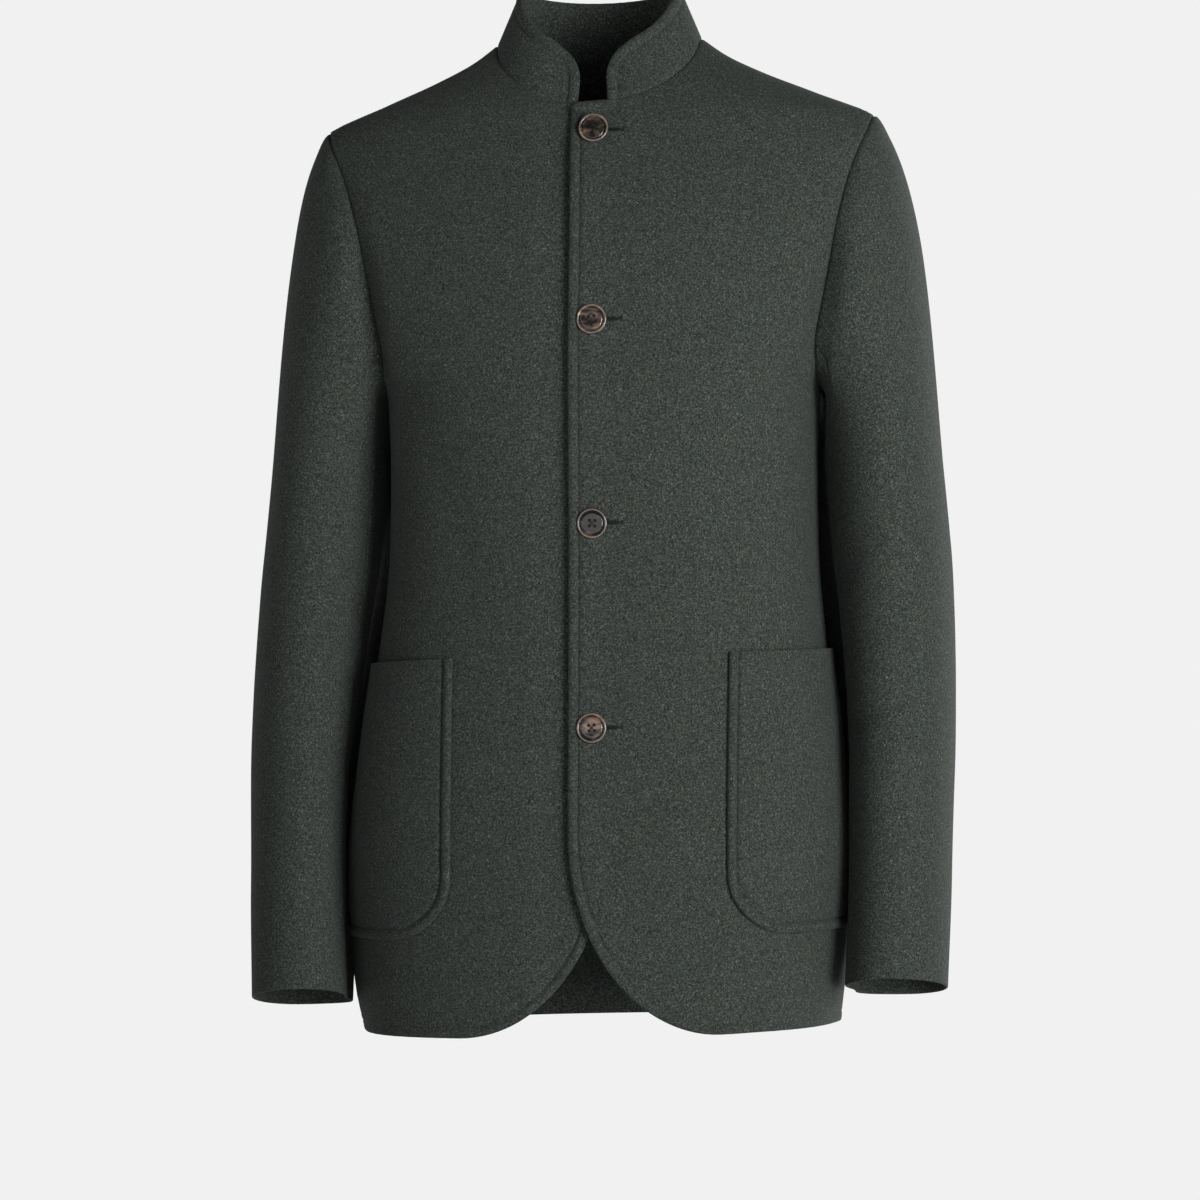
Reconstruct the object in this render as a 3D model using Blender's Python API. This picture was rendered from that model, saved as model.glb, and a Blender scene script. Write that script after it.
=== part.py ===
"""Stand-collar jacket of felted wool in its worn shape: hollow, with two patch pockets and four buttons.

Units are metres. +Z is up, the front faces -Y and the wearer's left is +X. The origin is the middle of
the neck, level with the points where the shoulder seams meet the collar.

The body is one smooth form, a stack of rounded sections from TORSO. The fronts and the back are stretches
of that form between their seams, the pockets are stretches of the fronts moved out, and the sleeves are
tubes that start at the armholes of that form. All is worked out for the left side and mirrored.
"""

import math
from collections import namedtuple
from functools import lru_cache

import bmesh
import bpy
from mathutils import Matrix, Vector

# Cloth and seams
CLOTH = 0.0022              # felted wool, one layer
COLLAR_CLOTH = 0.0036       # the collar is two layers
SEAM_GAP = 0.0004           # between pieces that are sewn together
LAY_GAP = 0.0006            # between a panel and what lies on it
MERGE_DISTANCE = 1e-6       # points of a mesh closer than this are one

# Stance: the wearer's left side is carried higher, and the neck leans to the right
STANCE_SLOPE = 0.024        # rise for each metre of width
NECK_SHIFT = -0.0038
NECK_SHIFT_START = -0.180

# Main heights
HEM = -0.752
UNDERARM = -0.270
SHOULDER_TIP = -0.064
FRONT_NECK = -0.052         # collar seam at the centre front
BACK_NECK = -0.008          # collar seam at the centre back
NECK_HALF_WIDTH = 0.078
SIDE = math.pi / 2          # turn of the middle of the side, from the centre front

# Front edges
OVERLAP = 0.0157            # each front runs this far past the centre front
OVERLAP_CORNER = 0.006      # rounding of the overlap's top corner
UNDERLAP_START = 0.048      # where the right front starts to sink below the left one
UNDERLAP_FULL = 0.024
UNDERLAP_DEPTH = CLOTH + 0.0008
HEM_CURVE_WIDTH = 0.114     # the front edge sweeps back to the hem in a quarter of an ellipse
HEM_CURVE_HEIGHT = 0.152
HEM_CURVE_TOP = HEM + HEM_CURVE_HEIGHT

# Pockets
POCKET_TOP = -0.468
POCKET_BOTTOM = -0.679
POCKET_INNER_X = 0.103
POCKET_WIDTH = 0.163        # along the cloth
POCKET_CORNER = 0.048
POCKET_BELLY = 0.0030       # how far a pocket stands off the front at its fullest
POCKET_FULLEST = 0.80       # share of the pocket's height where that is

# Collar
COLLAR_END_X = 0.0118       # each end stops this far from the centre front
COLLAR_HEIGHT = 0.046
COLLAR_END_DROP = 0.013     # the top edge falls this much towards each end
COLLAR_END_RUN = 0.034      # over this length
COLLAR_LEAN = math.radians(23)

# Buttons
BUTTON_X = 0.002
BUTTON_HEIGHTS = (-0.075, -0.219, -0.370, -0.522)
BUTTON_RADIUS = 0.0113
BUTTON_HOLE_RADIUS = 0.0011
BUTTON_HOLE_SPACING = 0.0040
BUTTON_SIDES = 24
BUTTON_HOLE_SIDES = 8

# How finely the pieces are divided
FRONT_COLUMNS = 10
BACK_COLUMNS = 8            # from a side seam to the centre back
ARMHOLE_STEPS = 11          # from the shoulder tip to the underarm, along each side of the armhole
HEM_CURVE_STEPS = 7
FRONT_SIDE_STEPS = 9
BACK_SIDE_STEPS = 14
SHOULDER_STEPS = 4
FRONT_NECK_STEPS = 11       # along the neckline, from a shoulder seam to the collar's end
BACK_NECK_STEPS = 9         # and to the centre back
SLEEVE_HEAD_STEPS = 9
SLEEVE_ARM_STEPS = 12
POCKET_COLUMNS = 10
POCKET_ROWS = 8             # above the rounded corners
POCKET_CORNER_ROWS = 6
COLLAR_ROWS = 4

# Rounded sections of the body: half width, depth in front of and behind the shoulder line, and the power
# of the rounded outline, where 2 is an ellipse and more is squarer
Section = namedtuple("Section", "height half_width front back squareness")
TORSO = (
    Section(HEM, 0.178, 0.121, 0.119, 2.35),
    Section(-0.690, 0.184, 0.125, 0.123, 2.35),
    Section(-0.620, 0.186, 0.126, 0.122, 2.35),
    Section(-0.540, 0.180, 0.124, 0.114, 2.35),
    Section(-0.470, 0.172, 0.121, 0.105, 2.35),
    Section(-0.390, 0.164, 0.119, 0.099, 2.40),
    Section(-0.330, 0.163, 0.122, 0.103, 2.45),
    Section(UNDERARM, 0.165, 0.126, 0.112, 2.50),
    Section(-0.237, 0.186, 0.125, 0.117, 2.40),
    Section(-0.211, 0.201, 0.123, 0.119, 2.25),
    Section(-0.182, 0.215, 0.119, 0.120, 2.15),
    Section(-0.149, 0.226, 0.112, 0.118, 2.10),
    Section(-0.121, 0.230, 0.103, 0.113, 2.05),
    Section(-0.092, 0.226, 0.091, 0.104, 2.00),
    Section(SHOULDER_TIP, 0.208, 0.078, 0.092, 2.00),
    Section(-0.044, 0.1635, 0.067, 0.082, 2.00),
    Section(-0.029, 0.1275, 0.056, 0.074, 2.00),
    Section(-0.014, 0.0975, 0.044, 0.066, 2.00),
    Section(0.000, NECK_HALF_WIDTH, 0.034, 0.058, 2.00),
)

# The armhole, from the shoulder tip down to the underarm: how far out its front and back edges lie
ArmholeRow = namedtuple("ArmholeRow", "height front back")
ARMHOLE = (
    ArmholeRow(SHOULDER_TIP, 0.2080, 0.2080),
    ArmholeRow(-0.078, 0.2035, 0.2042),
    ArmholeRow(-0.095, 0.1965, 0.1985),
    ArmholeRow(-0.121, 0.1880, 0.1910),
    ArmholeRow(-0.149, 0.1810, 0.1855),
    ArmholeRow(-0.182, 0.1755, 0.1805),
    ArmholeRow(-0.211, 0.1705, 0.1755),
    ArmholeRow(-0.237, 0.1663, 0.1700),
    ArmholeRow(-0.258, 0.1640, 0.1660),
    ArmholeRow(UNDERARM, 0.1650, 0.1650),
)

# The side seam runs back from the middle of the side as it goes down
SeamRow = namedtuple("SeamRow", "height turn")
SIDE_SEAM = (
    SeamRow(HEM, math.radians(101)),
    SeamRow(-0.600, math.radians(101)),
    SeamRow(-0.400, math.radians(95)),
    SeamRow(UNDERARM, SIDE),
)

# Rounded sections of the sleeve below its head: middle, half width and depth, forward pitch and inward
# twist in degrees, and how far the inner back quarter swells towards the body it rests by
SleeveRow = namedtuple("SleeveRow", "height out fore half_width half_depth pitch twist rest")
SLEEVE = (
    SleeveRow(-0.330, 0.2130, 0.010, 0.0450, 0.072, 0, 0, 0.028),
    SleeveRow(-0.390, 0.2190, 0.009, 0.0450, 0.070, 2, 3, 0.034),
    SleeveRow(-0.440, 0.2240, 0.005, 0.0433, 0.067, 6, 6, 0.036),
    SleeveRow(-0.500, 0.2285, -0.003, 0.0405, 0.063, 9, 10, 0.032),
    SleeveRow(-0.560, 0.2315, -0.011, 0.0372, 0.059, 11, 13, 0.026),
    SleeveRow(-0.640, 0.2312, -0.020, 0.0358, 0.054, 11, 14, 0.020),
    SleeveRow(-0.7245, 0.2285, -0.030, 0.0362, 0.050, 11, 14, 0.012),
)
SLEEVE_START_PULL = 0.55    # how strongly the head follows its direction at the armhole
SLEEVE_END_PULL = 1.0       # and the arm's direction at its end
SLEEVE_END_WAY = Vector((0.09, 0.0, -1.0))
SLEEVE_MITRE = 0.40         # share of the head over which the wall turns from the seam's direction
FRONT_SLEEVE_SEAM = 9       # seams of the two-piece sleeve, in armhole steps from the shoulder tip
BACK_SLEEVE_SEAM = 16

WOOL_COLOUR = (0.048, 0.056, 0.051, 1.0)
HORN_COLOUR = (0.040, 0.030, 0.027, 1.0)


@lru_cache(maxsize=None)
def curve_rows(table, column):
    """Heights, values and slopes of a smooth curve through a table's column that never overshoots."""
    rows = sorted(table, key=lambda row: row.height)
    heights = [row.height for row in rows]
    values = [getattr(row, column) for row in rows]
    spans = [b - a for a, b in zip(heights, heights[1:])]
    rises = [(b - a) / span for a, b, span in zip(values, values[1:], spans)]
    slopes = [rises[0]]
    for before, after, near, far in zip(rises, rises[1:], spans, spans[1:]):
        if before * after <= 0:
            slopes.append(0.0)
        else:
            first, second = 2 * far + near, far + 2 * near
            slopes.append((first + second) / (first / before + second / after))
    slopes.append(rises[-1])
    return heights, values, slopes


@lru_cache(maxsize=None)
def interpolate(table, column, height):
    """Value of a table's column at a height."""
    heights, values, slopes = curve_rows(table, column)
    height = min(max(height, heights[0]), heights[-1])
    index = max(i for i, row_height in enumerate(heights[:-1]) if row_height <= height)
    span = heights[index + 1] - heights[index]
    t = (height - heights[index]) / span
    return hermite(values[index], slopes[index] * span, values[index + 1], slopes[index + 1] * span, t)


def hermite(start, start_slope, end, end_slope, t):
    """Cubic curve from start (t = 0) to end (t = 1) with those slopes, for numbers or vectors."""
    return (
        start * ((1 + 2 * t) * (1 - t) ** 2)
        + start_slope * (t * (1 - t) ** 2)
        + end * (t * t * (3 - 2 * t))
        - end_slope * (t * t * (1 - t))
    )


def ease(value, start, end):
    """0 at start, 1 at end and smooth between."""
    t = min(1.0, max(0.0, (value - start) / (end - start)))
    return t * t * (3 - 2 * t)


def spread(start, end, steps):
    """Evenly spaced values from start to end, both included."""
    return [start + (end - start) * i / steps for i in range(steps + 1)]


def quarter_rise(size, steps):
    """Heights up a quarter round of that size, closest together at its foot, without its top."""
    return [size * (1 - math.cos(math.pi / 2 * i / steps)) for i in range(steps)]


def mirrored(rows):
    """Rows of points on the other side of the body."""
    return [[Vector((-point.x, point.y, point.z)) for point in row] for row in rows]


def stance(point):
    """The worn place of a point: the left side is higher and the neck leans to the right."""
    lean = NECK_SHIFT * ease(point.z, NECK_SHIFT_START, 0.0)
    return Vector((point.x + lean, point.y, point.z + STANCE_SLOPE * point.x))


def torso_point(turn, height):
    """Point of the body's outer face. The turn is 0 at the centre front and SIDE at the left side."""
    across, ahead = math.sin(turn), math.cos(turn)
    half_width = interpolate(TORSO, "half_width", height)
    depth = interpolate(TORSO, "front" if ahead > 0 else "back", height)
    power = interpolate(TORSO, "squareness", height)
    reach = (abs(across) / half_width) ** power + (abs(ahead) / depth) ** power
    radius = reach ** (-1 / power)
    return Vector((radius * across, -radius * ahead, height))


@lru_cache(maxsize=None)
def torso_normal(turn, height):
    """Outward direction of the body's face."""
    step_turn, step_height = 0.004, 0.0008
    high = min(height + step_height, TORSO[-1].height)
    around = torso_point(turn + step_turn, height) - torso_point(turn - step_turn, height)
    upward = torso_point(turn, high) - torso_point(turn, height - step_height)
    return around.cross(upward).normalized()


def turn_at(x, height, face="front"):
    """Turn at which the body's front or back face is this far out at a height."""
    half_width = interpolate(TORSO, "half_width", height)
    depth = interpolate(TORSO, face, height)
    power = interpolate(TORSO, "squareness", height)
    y = depth * (1 - min(1.0, abs(x) / half_width) ** power) ** (1 / power)
    return math.atan2(x, y if face == "front" else -y)


@lru_cache(maxsize=None)
def armhole_row(step):
    """The armhole's row at a step from the shoulder tip (0) to the underarm (ARMHOLE_STEPS)."""
    place = step / ARMHOLE_STEPS * (len(ARMHOLE) - 1)
    index = min(int(place), len(ARMHOLE) - 2)
    t = place - index
    last = len(ARMHOLE) - 1
    before, start, end, after = (ARMHOLE[min(max(index + i, 0), last)] for i in (-1, 0, 1, 2))
    columns = zip(before, start, end, after)
    return ArmholeRow(*(hermite(b, (c - a) / 2, c, (d - b) / 2, t) for a, b, c, d in columns))


@lru_cache(maxsize=None)
def armhole_turn(around):
    """(turn, height) on the left armhole, from the shoulder tip down the front and up the back."""
    around %= 2 * ARMHOLE_STEPS
    face = "front" if around <= ARMHOLE_STEPS else "back"
    row = armhole_row(min(around, 2 * ARMHOLE_STEPS - around))
    return turn_at(getattr(row, face), row.height, face), row.height


def armhole_point(around):
    """Point of the left armhole."""
    return torso_point(*armhole_turn(around))


@lru_cache(maxsize=None)
def armhole_inward(around):
    """Direction in the body's face from the armhole's edge into the hole."""
    step = 0.02
    along = armhole_point(around + step) - armhole_point(around - step)
    return torso_normal(*armhole_turn(around)).cross(along).normalized()


def sleeve_ring(row, around):
    """Point of the arm's rounded section. around runs as on the armhole."""
    angle = math.pi * around / ARMHOLE_STEPS
    swell = row.rest * math.sin(2 * angle) ** 2 if math.pi < angle % math.tau < 1.5 * math.pi else 0.0
    place = Vector((row.half_width * math.cos(angle), -row.half_depth * math.sin(angle), 0.0))
    place.rotate(Matrix.Rotation(-math.radians(row.twist), 3, "Z"))
    place.x -= swell
    place.rotate(Matrix.Rotation(-math.radians(row.pitch), 3, "X"))
    return place + Vector((row.out, row.fore, row.height))


def sleeve_row(height):
    """The sleeve's section at a height below its head."""
    return SleeveRow(height, *(interpolate(SLEEVE, column, height) for column in SleeveRow._fields[1:]))


@lru_cache(maxsize=None)
def sleeve_point(around, along):
    """Point of the left sleeve. along is 0 at the armhole, 1 at the foot of the head and 2 at the cuff."""
    top, cuff = SLEEVE[0].height, SLEEVE[-1].height
    if along >= 1:
        return sleeve_ring(sleeve_row(top + (cuff - top) * (along - 1)), around)
    start = armhole_point(around) + armhole_inward(around) * (SEAM_GAP / 2)
    end = sleeve_ring(SLEEVE[0], around)
    angle = math.pi * around / ARMHOLE_STEPS
    start_way = Vector((0.80, -0.35 * math.sin(angle), -0.55 - 0.20 * math.cos(angle)))
    length = (end - start).length
    start_slope = start_way.normalized() * (SLEEVE_START_PULL * length)
    end_slope = SLEEVE_END_WAY.normalized() * (SLEEVE_END_PULL * length)
    return hermite(start, start_slope, end, end_slope, along)


def sleeve_normal(around, along):
    """Outward direction of the left sleeve's face."""
    step = 0.02
    down = sleeve_point(around, min(2.0, along + step)) - sleeve_point(around, max(0.0, along - step))
    across = sleeve_point(around + step, along) - sleeve_point(around - step, along)
    return across.cross(down).normalized()


@lru_cache(maxsize=None)
def armhole_mitre(around):
    """Outward direction half way between the body's face and the sleeve's, for both edges of the seam."""
    return (torso_normal(*armhole_turn(around)) + sleeve_normal(around, 0.0)).normalized()


def sleeve_wall_way(around, along):
    """Direction through the sleeve's wall: the seam's mitre at the armhole, then the sleeve's own."""
    share = ease(along, 0.0, SLEEVE_MITRE)
    return (armhole_mitre(around) * (1 - share) + sleeve_normal(around, along) * share).normalized()


def side_turn(height, towards):
    """Turn of a panel's edge on the side and shoulder seams. towards is -1 for a front, +1 for the back."""
    turn = interpolate(SIDE_SEAM, "turn", height)
    return turn + towards * SEAM_GAP / 2 / interpolate(TORSO, "half_width", height)


def front_edge_x(height):
    """How far out the left front's free edge lies. Negative is past the centre front."""
    if height < HEM_CURVE_TOP:
        size, share = HEM_CURVE_WIDTH, (HEM_CURVE_TOP - height) / HEM_CURVE_HEIGHT
    else:
        size, share = OVERLAP_CORNER, max(0.0, 1 - (FRONT_NECK - height) / OVERLAP_CORNER)
    return size * (1 - math.sqrt(1 - min(1.0, share) ** 2)) - OVERLAP


def neck_places(face, drop=0.0):
    """(height, turn) of each step up the front or back neckline, which is a quarter of an ellipse."""
    if face == "front":
        lowest, angles = FRONT_NECK, spread(math.asin(COLLAR_END_X / NECK_HALF_WIDTH), SIDE, FRONT_NECK_STEPS)
    else:
        lowest, angles = BACK_NECK, spread(0, SIDE, BACK_NECK_STEPS)
    heights = [lowest * math.cos(angle) - drop for angle in angles]
    outs = [NECK_HALF_WIDTH * math.sin(angle) for angle in angles]
    return [(height, turn_at(out, height, face)) for height, out in zip(heights, outs)]


def front_point(turn, height, under, out=0.0):
    """Point of a front, moved out from its face. The under front sinks below the other at the centre."""
    point = torso_point(turn, height)
    sunk = UNDERLAP_DEPTH * (1 - ease(point.x, UNDERLAP_FULL, UNDERLAP_START)) if under else 0.0
    return point + torso_normal(turn, height) * (out - sunk)


def front_rows():
    """(height, turn of the first edge, armhole step or None) of each row of a front, from the hem up."""
    heights = [HEM + rise for rise in quarter_rise(HEM_CURVE_HEIGHT, HEM_CURVE_STEPS)]
    heights += spread(HEM_CURVE_TOP, UNDERARM, FRONT_SIDE_STEPS)[:-1]
    rows = [(height, turn_at(front_edge_x(height), height), None) for height in heights]
    for step in range(ARMHOLE_STEPS, -1, -1):
        height = armhole_row(step).height
        rows.append((height, turn_at(-OVERLAP, height), step))
    for share in (0.0, 0.7, 1.0):
        height = FRONT_NECK - SEAM_GAP - OVERLAP_CORNER * (1 - share)
        rows.append((height, turn_at(front_edge_x(height), height), None))
    return rows + [(height, turn, None) for height, turn in neck_places("front", SEAM_GAP)]


def back_rows():
    """(height, turn of the middle edge, armhole step or None) of each row of the back, from the hem up."""
    rows = [(height, math.pi, None) for height in spread(HEM, UNDERARM, BACK_SIDE_STEPS)[:-1]]
    rows += [(armhole_row(step).height, math.pi, step) for step in range(ARMHOLE_STEPS, -1, -1)]
    rows += [(height, math.pi, None) for height in spread(SHOULDER_TIP, BACK_NECK, SHOULDER_STEPS)[1:-1]]
    return rows + [(height, turn, None) for height, turn in neck_places("back", SEAM_GAP)]


def pull_from_armhole(outer, inner, column, around):
    """Draws one end of a panel's row back from the armhole by half the gap, on the seam's mitre."""
    outer[column] = outer[column] - armhole_inward(around) * (SEAM_GAP / 2)
    inner[column] = outer[column] - armhole_mitre(around) * CLOTH


def make_front(name, hand, material):
    """One front, from its free edge round to the side seam, the armhole and the shoulder."""
    outer, inner = [], []
    under = hand < 0
    for height, first_turn, step in front_rows():
        last_turn = side_turn(height, -1)
        if step is not None:
            last_turn = min(last_turn, armhole_turn(step)[0])
        turns = spread(first_turn, last_turn, FRONT_COLUMNS)
        outer.append([front_point(turn, height, under) for turn in turns])
        inner.append([front_point(turn, height, under, -CLOTH) for turn in turns])
        if step is not None:
            pull_from_armhole(outer[-1], inner[-1], -1, step)
    return cloth_wall(name, outer, inner, hand, material)


def make_back(material):
    """The back in one piece: its left half, from the side seam to the middle and the neckline, mirrored."""
    outer, inner = [], []
    for height, middle_turn, step in back_rows():
        edge_turn = side_turn(height, 1)
        around = None if step is None else 2 * ARMHOLE_STEPS - step
        if step is not None:
            edge_turn = max(edge_turn, armhole_turn(around)[0])
        turns = spread(edge_turn, middle_turn, BACK_COLUMNS)
        outer.append([torso_point(turn, height) for turn in turns])
        inner.append([point - torso_normal(turn, height) * CLOTH for point, turn in zip(outer[-1], turns)])
        if step is not None:
            pull_from_armhole(outer[-1], inner[-1], 0, around)
    return cloth_wall("back", outer, inner, 1, material, both_sides=True)


def make_sleeve_piece(name, hand, first, last, material):
    """A lengthwise piece of a sleeve between two of its seams, given in steps round the armhole."""
    arounds = range(first, last + 1)
    outer, inner = [], []
    for along in spread(0, 1, SLEEVE_HEAD_STEPS) + spread(1, 2, SLEEVE_ARM_STEPS)[1:]:
        outer_row = [sleeve_point(around, along) for around in arounds]
        for column, neighbour in ((0, 1), (-1, -2)):
            towards = (outer_row[neighbour] - outer_row[column]).normalized()
            outer_row[column] = outer_row[column] + towards * (LAY_GAP / 2)
        walls = [sleeve_wall_way(around, along) * CLOTH for around in arounds]
        outer.append(outer_row)
        inner.append([point - wall for point, wall in zip(outer_row, walls)])
    return cloth_wall(name, outer, inner, hand, material)


def pocket_turns(height):
    """Turns of a pocket's columns at a height, drawn in at its rounded lower corners."""
    share = max(0.0, 1 - (height - POCKET_BOTTOM) / POCKET_CORNER)
    inset = POCKET_CORNER * (1 - math.sqrt(1 - share**2))
    start = end = turn_at(POCKET_INNER_X + inset, height)
    step = 0.002
    length = 0.0
    while length < POCKET_WIDTH - 2 * inset:
        length += (torso_point(end + step, height) - torso_point(end, height)).length
        end += step
    return spread(start, end, POCKET_COLUMNS)


def make_pocket(name, hand, material):
    """A patch pocket: the front's own face moved out, a little full, and open at the top."""
    heights = [POCKET_BOTTOM + rise for rise in quarter_rise(POCKET_CORNER, POCKET_CORNER_ROWS)]
    heights += spread(POCKET_BOTTOM + POCKET_CORNER, POCKET_TOP, POCKET_ROWS)
    outer, inner = [], []
    for height in heights:
        rise = (height - POCKET_BOTTOM) / (POCKET_TOP - POCKET_BOTTOM)
        belly = POCKET_BELLY * math.sin(math.pi / 2 * rise / POCKET_FULLEST)
        turns = pocket_turns(height)
        outs = [LAY_GAP + belly * math.sin(share) for share in spread(0, math.pi, POCKET_COLUMNS)]
        inner.append([front_point(turn, height, False, out) for turn, out in zip(turns, outs)])
        outer.append([front_point(turn, height, False, out + CLOTH) for turn, out in zip(turns, outs)])
    return cloth_wall(name, outer, inner, hand, material)


def collar_half(hand):
    """Points of the neckline under half of the collar, from the centre back to the collar's end."""
    points = [torso_point(turn, height) for height, turn in neck_places("back")]
    points += [front_point(turn, height, hand < 0) for height, turn in neck_places("front")[-2::-1]]
    return points if hand > 0 else mirrored([points])[0]


def make_collar(material):
    """The stand collar: a band that rises from the neckline, leans in to the neck and has rounded ends."""
    bases = collar_half(-1)[:0:-1] + collar_half(1)
    run = [0.0]
    for here, there in zip(bases, bases[1:]):
        run.append(run[-1] + (there - here).length)
    columns = []
    for base, distance in zip(bases, run):
        short = max(0.0, 1 - min(distance, run[-1] - distance) / COLLAR_END_RUN)
        inward = Vector((-base.x, -base.y, 0)).normalized()
        columns.append((base, inward, COLLAR_HEIGHT - COLLAR_END_DROP * short**2))
    up = Vector((0, 0, 1))
    outer, inner = [], []
    for share in spread(0, 1, COLLAR_ROWS):
        outer_row, inner_row = [], []
        for base, inward, height in columns:
            rising = up * math.cos(COLLAR_LEAN) + inward * math.sin(COLLAR_LEAN)
            through = inward * math.cos(COLLAR_LEAN) - up * math.sin(COLLAR_LEAN)
            outer_row.append(base + rising * (LAY_GAP + height * share))
            inner_row.append(outer_row[-1] + (through if share else inward) * COLLAR_CLOTH)
        outer.append(outer_row)
        inner.append(inner_row)
    return cloth_wall("collar", outer, inner, 1, material)


def cloth_wall(name, outer, inner, hand, material, both_sides=False):
    """A closed wall of cloth between two grids of points of the same size.

    hand -1 puts it on the right. With both_sides it is mirrored and joined along the middle of the body.
    """
    if hand < 0:
        outer, inner = mirrored(outer), mirrored(inner)
    outer_points = [point for row in outer for point in row]
    inner_points = [point for row in inner for point in row]
    mesh = bmesh.new()
    number = mesh.verts.layers.int.new("number")
    sheet = bmesh.ops.create_grid(mesh, x_segments=len(outer[0]) - 1, y_segments=len(outer) - 1, size=1)
    for index, vertex in enumerate(sheet["verts"]):
        vertex[number] = index
        vertex.co = outer_points[index]
    if both_sides:
        half = mesh.verts[:] + mesh.edges[:] + mesh.faces[:]
        bmesh.ops.mirror(mesh, geom=half, axis="X", merge_dist=MERGE_DISTANCE)
    bmesh.ops.triangulate(mesh, faces=mesh.faces[:], quad_method="SHORT_EDGE")
    turned_in = bmesh.ops.extrude_face_region(mesh, geom=mesh.faces[:], use_keep_orig=True)
    for item in turned_in["geom"]:
        if isinstance(item, bmesh.types.BMVert):
            side = -1 if both_sides and item.co.x < -MERGE_DISTANCE else 1
            point = inner_points[item[number]]
            item.co = (side * point.x, point.y, point.z)
    for vertex in mesh.verts:
        vertex.co = stance(vertex.co)
    bmesh.ops.recalc_face_normals(mesh, faces=mesh.faces[:])
    return add_object(name, mesh_data(name, mesh, material))


def mesh_data(name, mesh, material):
    """A smooth-shaded mesh of that material from a bmesh."""
    data = bpy.data.meshes.new(name)
    mesh.to_mesh(data)
    mesh.free()
    data.shade_smooth()
    data.set_sharp_from_angle(angle=math.radians(50))
    data.materials.append(material)
    return data


def add_object(name, data):
    """A named object of the jacket, parented to the jacket's origin."""
    made = bpy.data.objects.new(name, data)
    bpy.data.collections["jacket"].objects.link(made)
    made.parent = bpy.data.objects["jacket_origin"]
    return made


def button_mesh(material):
    """A turned button with a raised rim, a dished middle and four holes."""
    profile = (
        (0.0, 0.0022),
        (0.62 * BUTTON_RADIUS, 0.0024),
        (0.76 * BUTTON_RADIUS, 0.0023),
        (0.84 * BUTTON_RADIUS, 0.0036),
        (0.94 * BUTTON_RADIUS, 0.0036),
        (BUTTON_RADIUS, 0.0026),
        (0.80 * BUTTON_RADIUS, 0.0004),
        (0.0, 0.0),
    )
    turned = bmesh.new()
    points = [turned.verts.new((radius, 0, height)) for radius, height in profile]
    edges = [turned.edges.new(pair) for pair in zip(points, points[1:])]
    bmesh.ops.spin(
        turned, geom=points + edges, axis=(0, 0, 1), angle=math.tau, steps=BUTTON_SIDES, use_merge=True
    )
    bmesh.ops.remove_doubles(turned, verts=turned.verts[:], dist=MERGE_DISTANCE)
    bmesh.ops.recalc_face_normals(turned, faces=turned.faces[:])
    blank = add_object("button_blank", mesh_data("button_blank", turned, material))

    drills = bmesh.new()
    for x in (-0.5, 0.5):
        for y in (-0.5, 0.5):
            bmesh.ops.create_cone(
                drills,
                cap_ends=True,
                segments=BUTTON_HOLE_SIDES,
                radius1=BUTTON_HOLE_RADIUS,
                radius2=BUTTON_HOLE_RADIUS,
                depth=BUTTON_RADIUS,
                matrix=Matrix.Translation((x * BUTTON_HOLE_SPACING, y * BUTTON_HOLE_SPACING, 0)),
            )
    drill = add_object("button_drill", mesh_data("button_drill", drills, material))
    cut = blank.modifiers.new("thread_holes", "BOOLEAN")
    cut.operation = "DIFFERENCE"
    cut.object = drill
    bpy.context.view_layer.update()
    mesh = bpy.data.meshes.new_from_object(blank.evaluated_get(bpy.context.evaluated_depsgraph_get()))
    bpy.data.objects.remove(blank)
    bpy.data.objects.remove(drill)
    return mesh


def make_buttons(material):
    """The buttons on the left front, each square to the cloth under it."""
    mesh = button_mesh(material)
    for index, height in enumerate(BUTTON_HEIGHTS, start=1):
        turn = turn_at(BUTTON_X, height)
        button = add_object(f"button_{index}", mesh)
        button.location = stance(front_point(turn, height, False, LAY_GAP))
        button.rotation_mode = "QUATERNION"
        button.rotation_quaternion = torso_normal(turn, height).to_track_quat("Z", "Y")


def make_material(name, colour, roughness):
    """A plain Principled material."""
    material = bpy.data.materials.new(name)
    material.use_nodes = True
    shader = material.node_tree.nodes["Principled BSDF"]
    shader.inputs["Base Color"].default_value = colour
    shader.inputs["Roughness"].default_value = roughness
    shader.inputs["Metallic"].default_value = 0.0
    return material


def start_scene():
    """Empties the scene and adds the jacket's collection and origin."""
    for item in list(bpy.data.objects):
        bpy.data.objects.remove(item)
    collection = bpy.data.collections.new("jacket")
    bpy.context.scene.collection.children.link(collection)
    collection.objects.link(bpy.data.objects.new("jacket_origin", None))


def main():
    """Builds the whole jacket."""
    start_scene()
    wool = make_material("wool", WOOL_COLOUR, 0.95)
    horn = make_material("horn", HORN_COLOUR, 0.35)
    whole_turn = 2 * ARMHOLE_STEPS
    make_back(wool)
    make_collar(wool)
    for side, hand in (("left", 1), ("right", -1)):
        make_front(f"front_{side}", hand, wool)
        make_pocket(f"pocket_{side}", hand, wool)
        make_sleeve_piece(f"top_sleeve_{side}", hand, BACK_SLEEVE_SEAM - whole_turn, FRONT_SLEEVE_SEAM, wool)
        make_sleeve_piece(f"under_sleeve_{side}", hand, FRONT_SLEEVE_SEAM, BACK_SLEEVE_SEAM, wool)
    make_buttons(horn)


main()
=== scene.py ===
"""Looks of a stand-collar jacket of felted wool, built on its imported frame.

Metres, +Z up. The front faces -Y and the wearer's left is +X. Each cut piece is a thin shell of cloth on the
form of its solid, with the folds, rolled seams, swelled edges and sewing that the solids leave out.
"""

import logging
import math
from dataclasses import dataclass
from enum import Enum
from typing import Any, Callable, ClassVar, NamedTuple, Sequence

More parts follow.
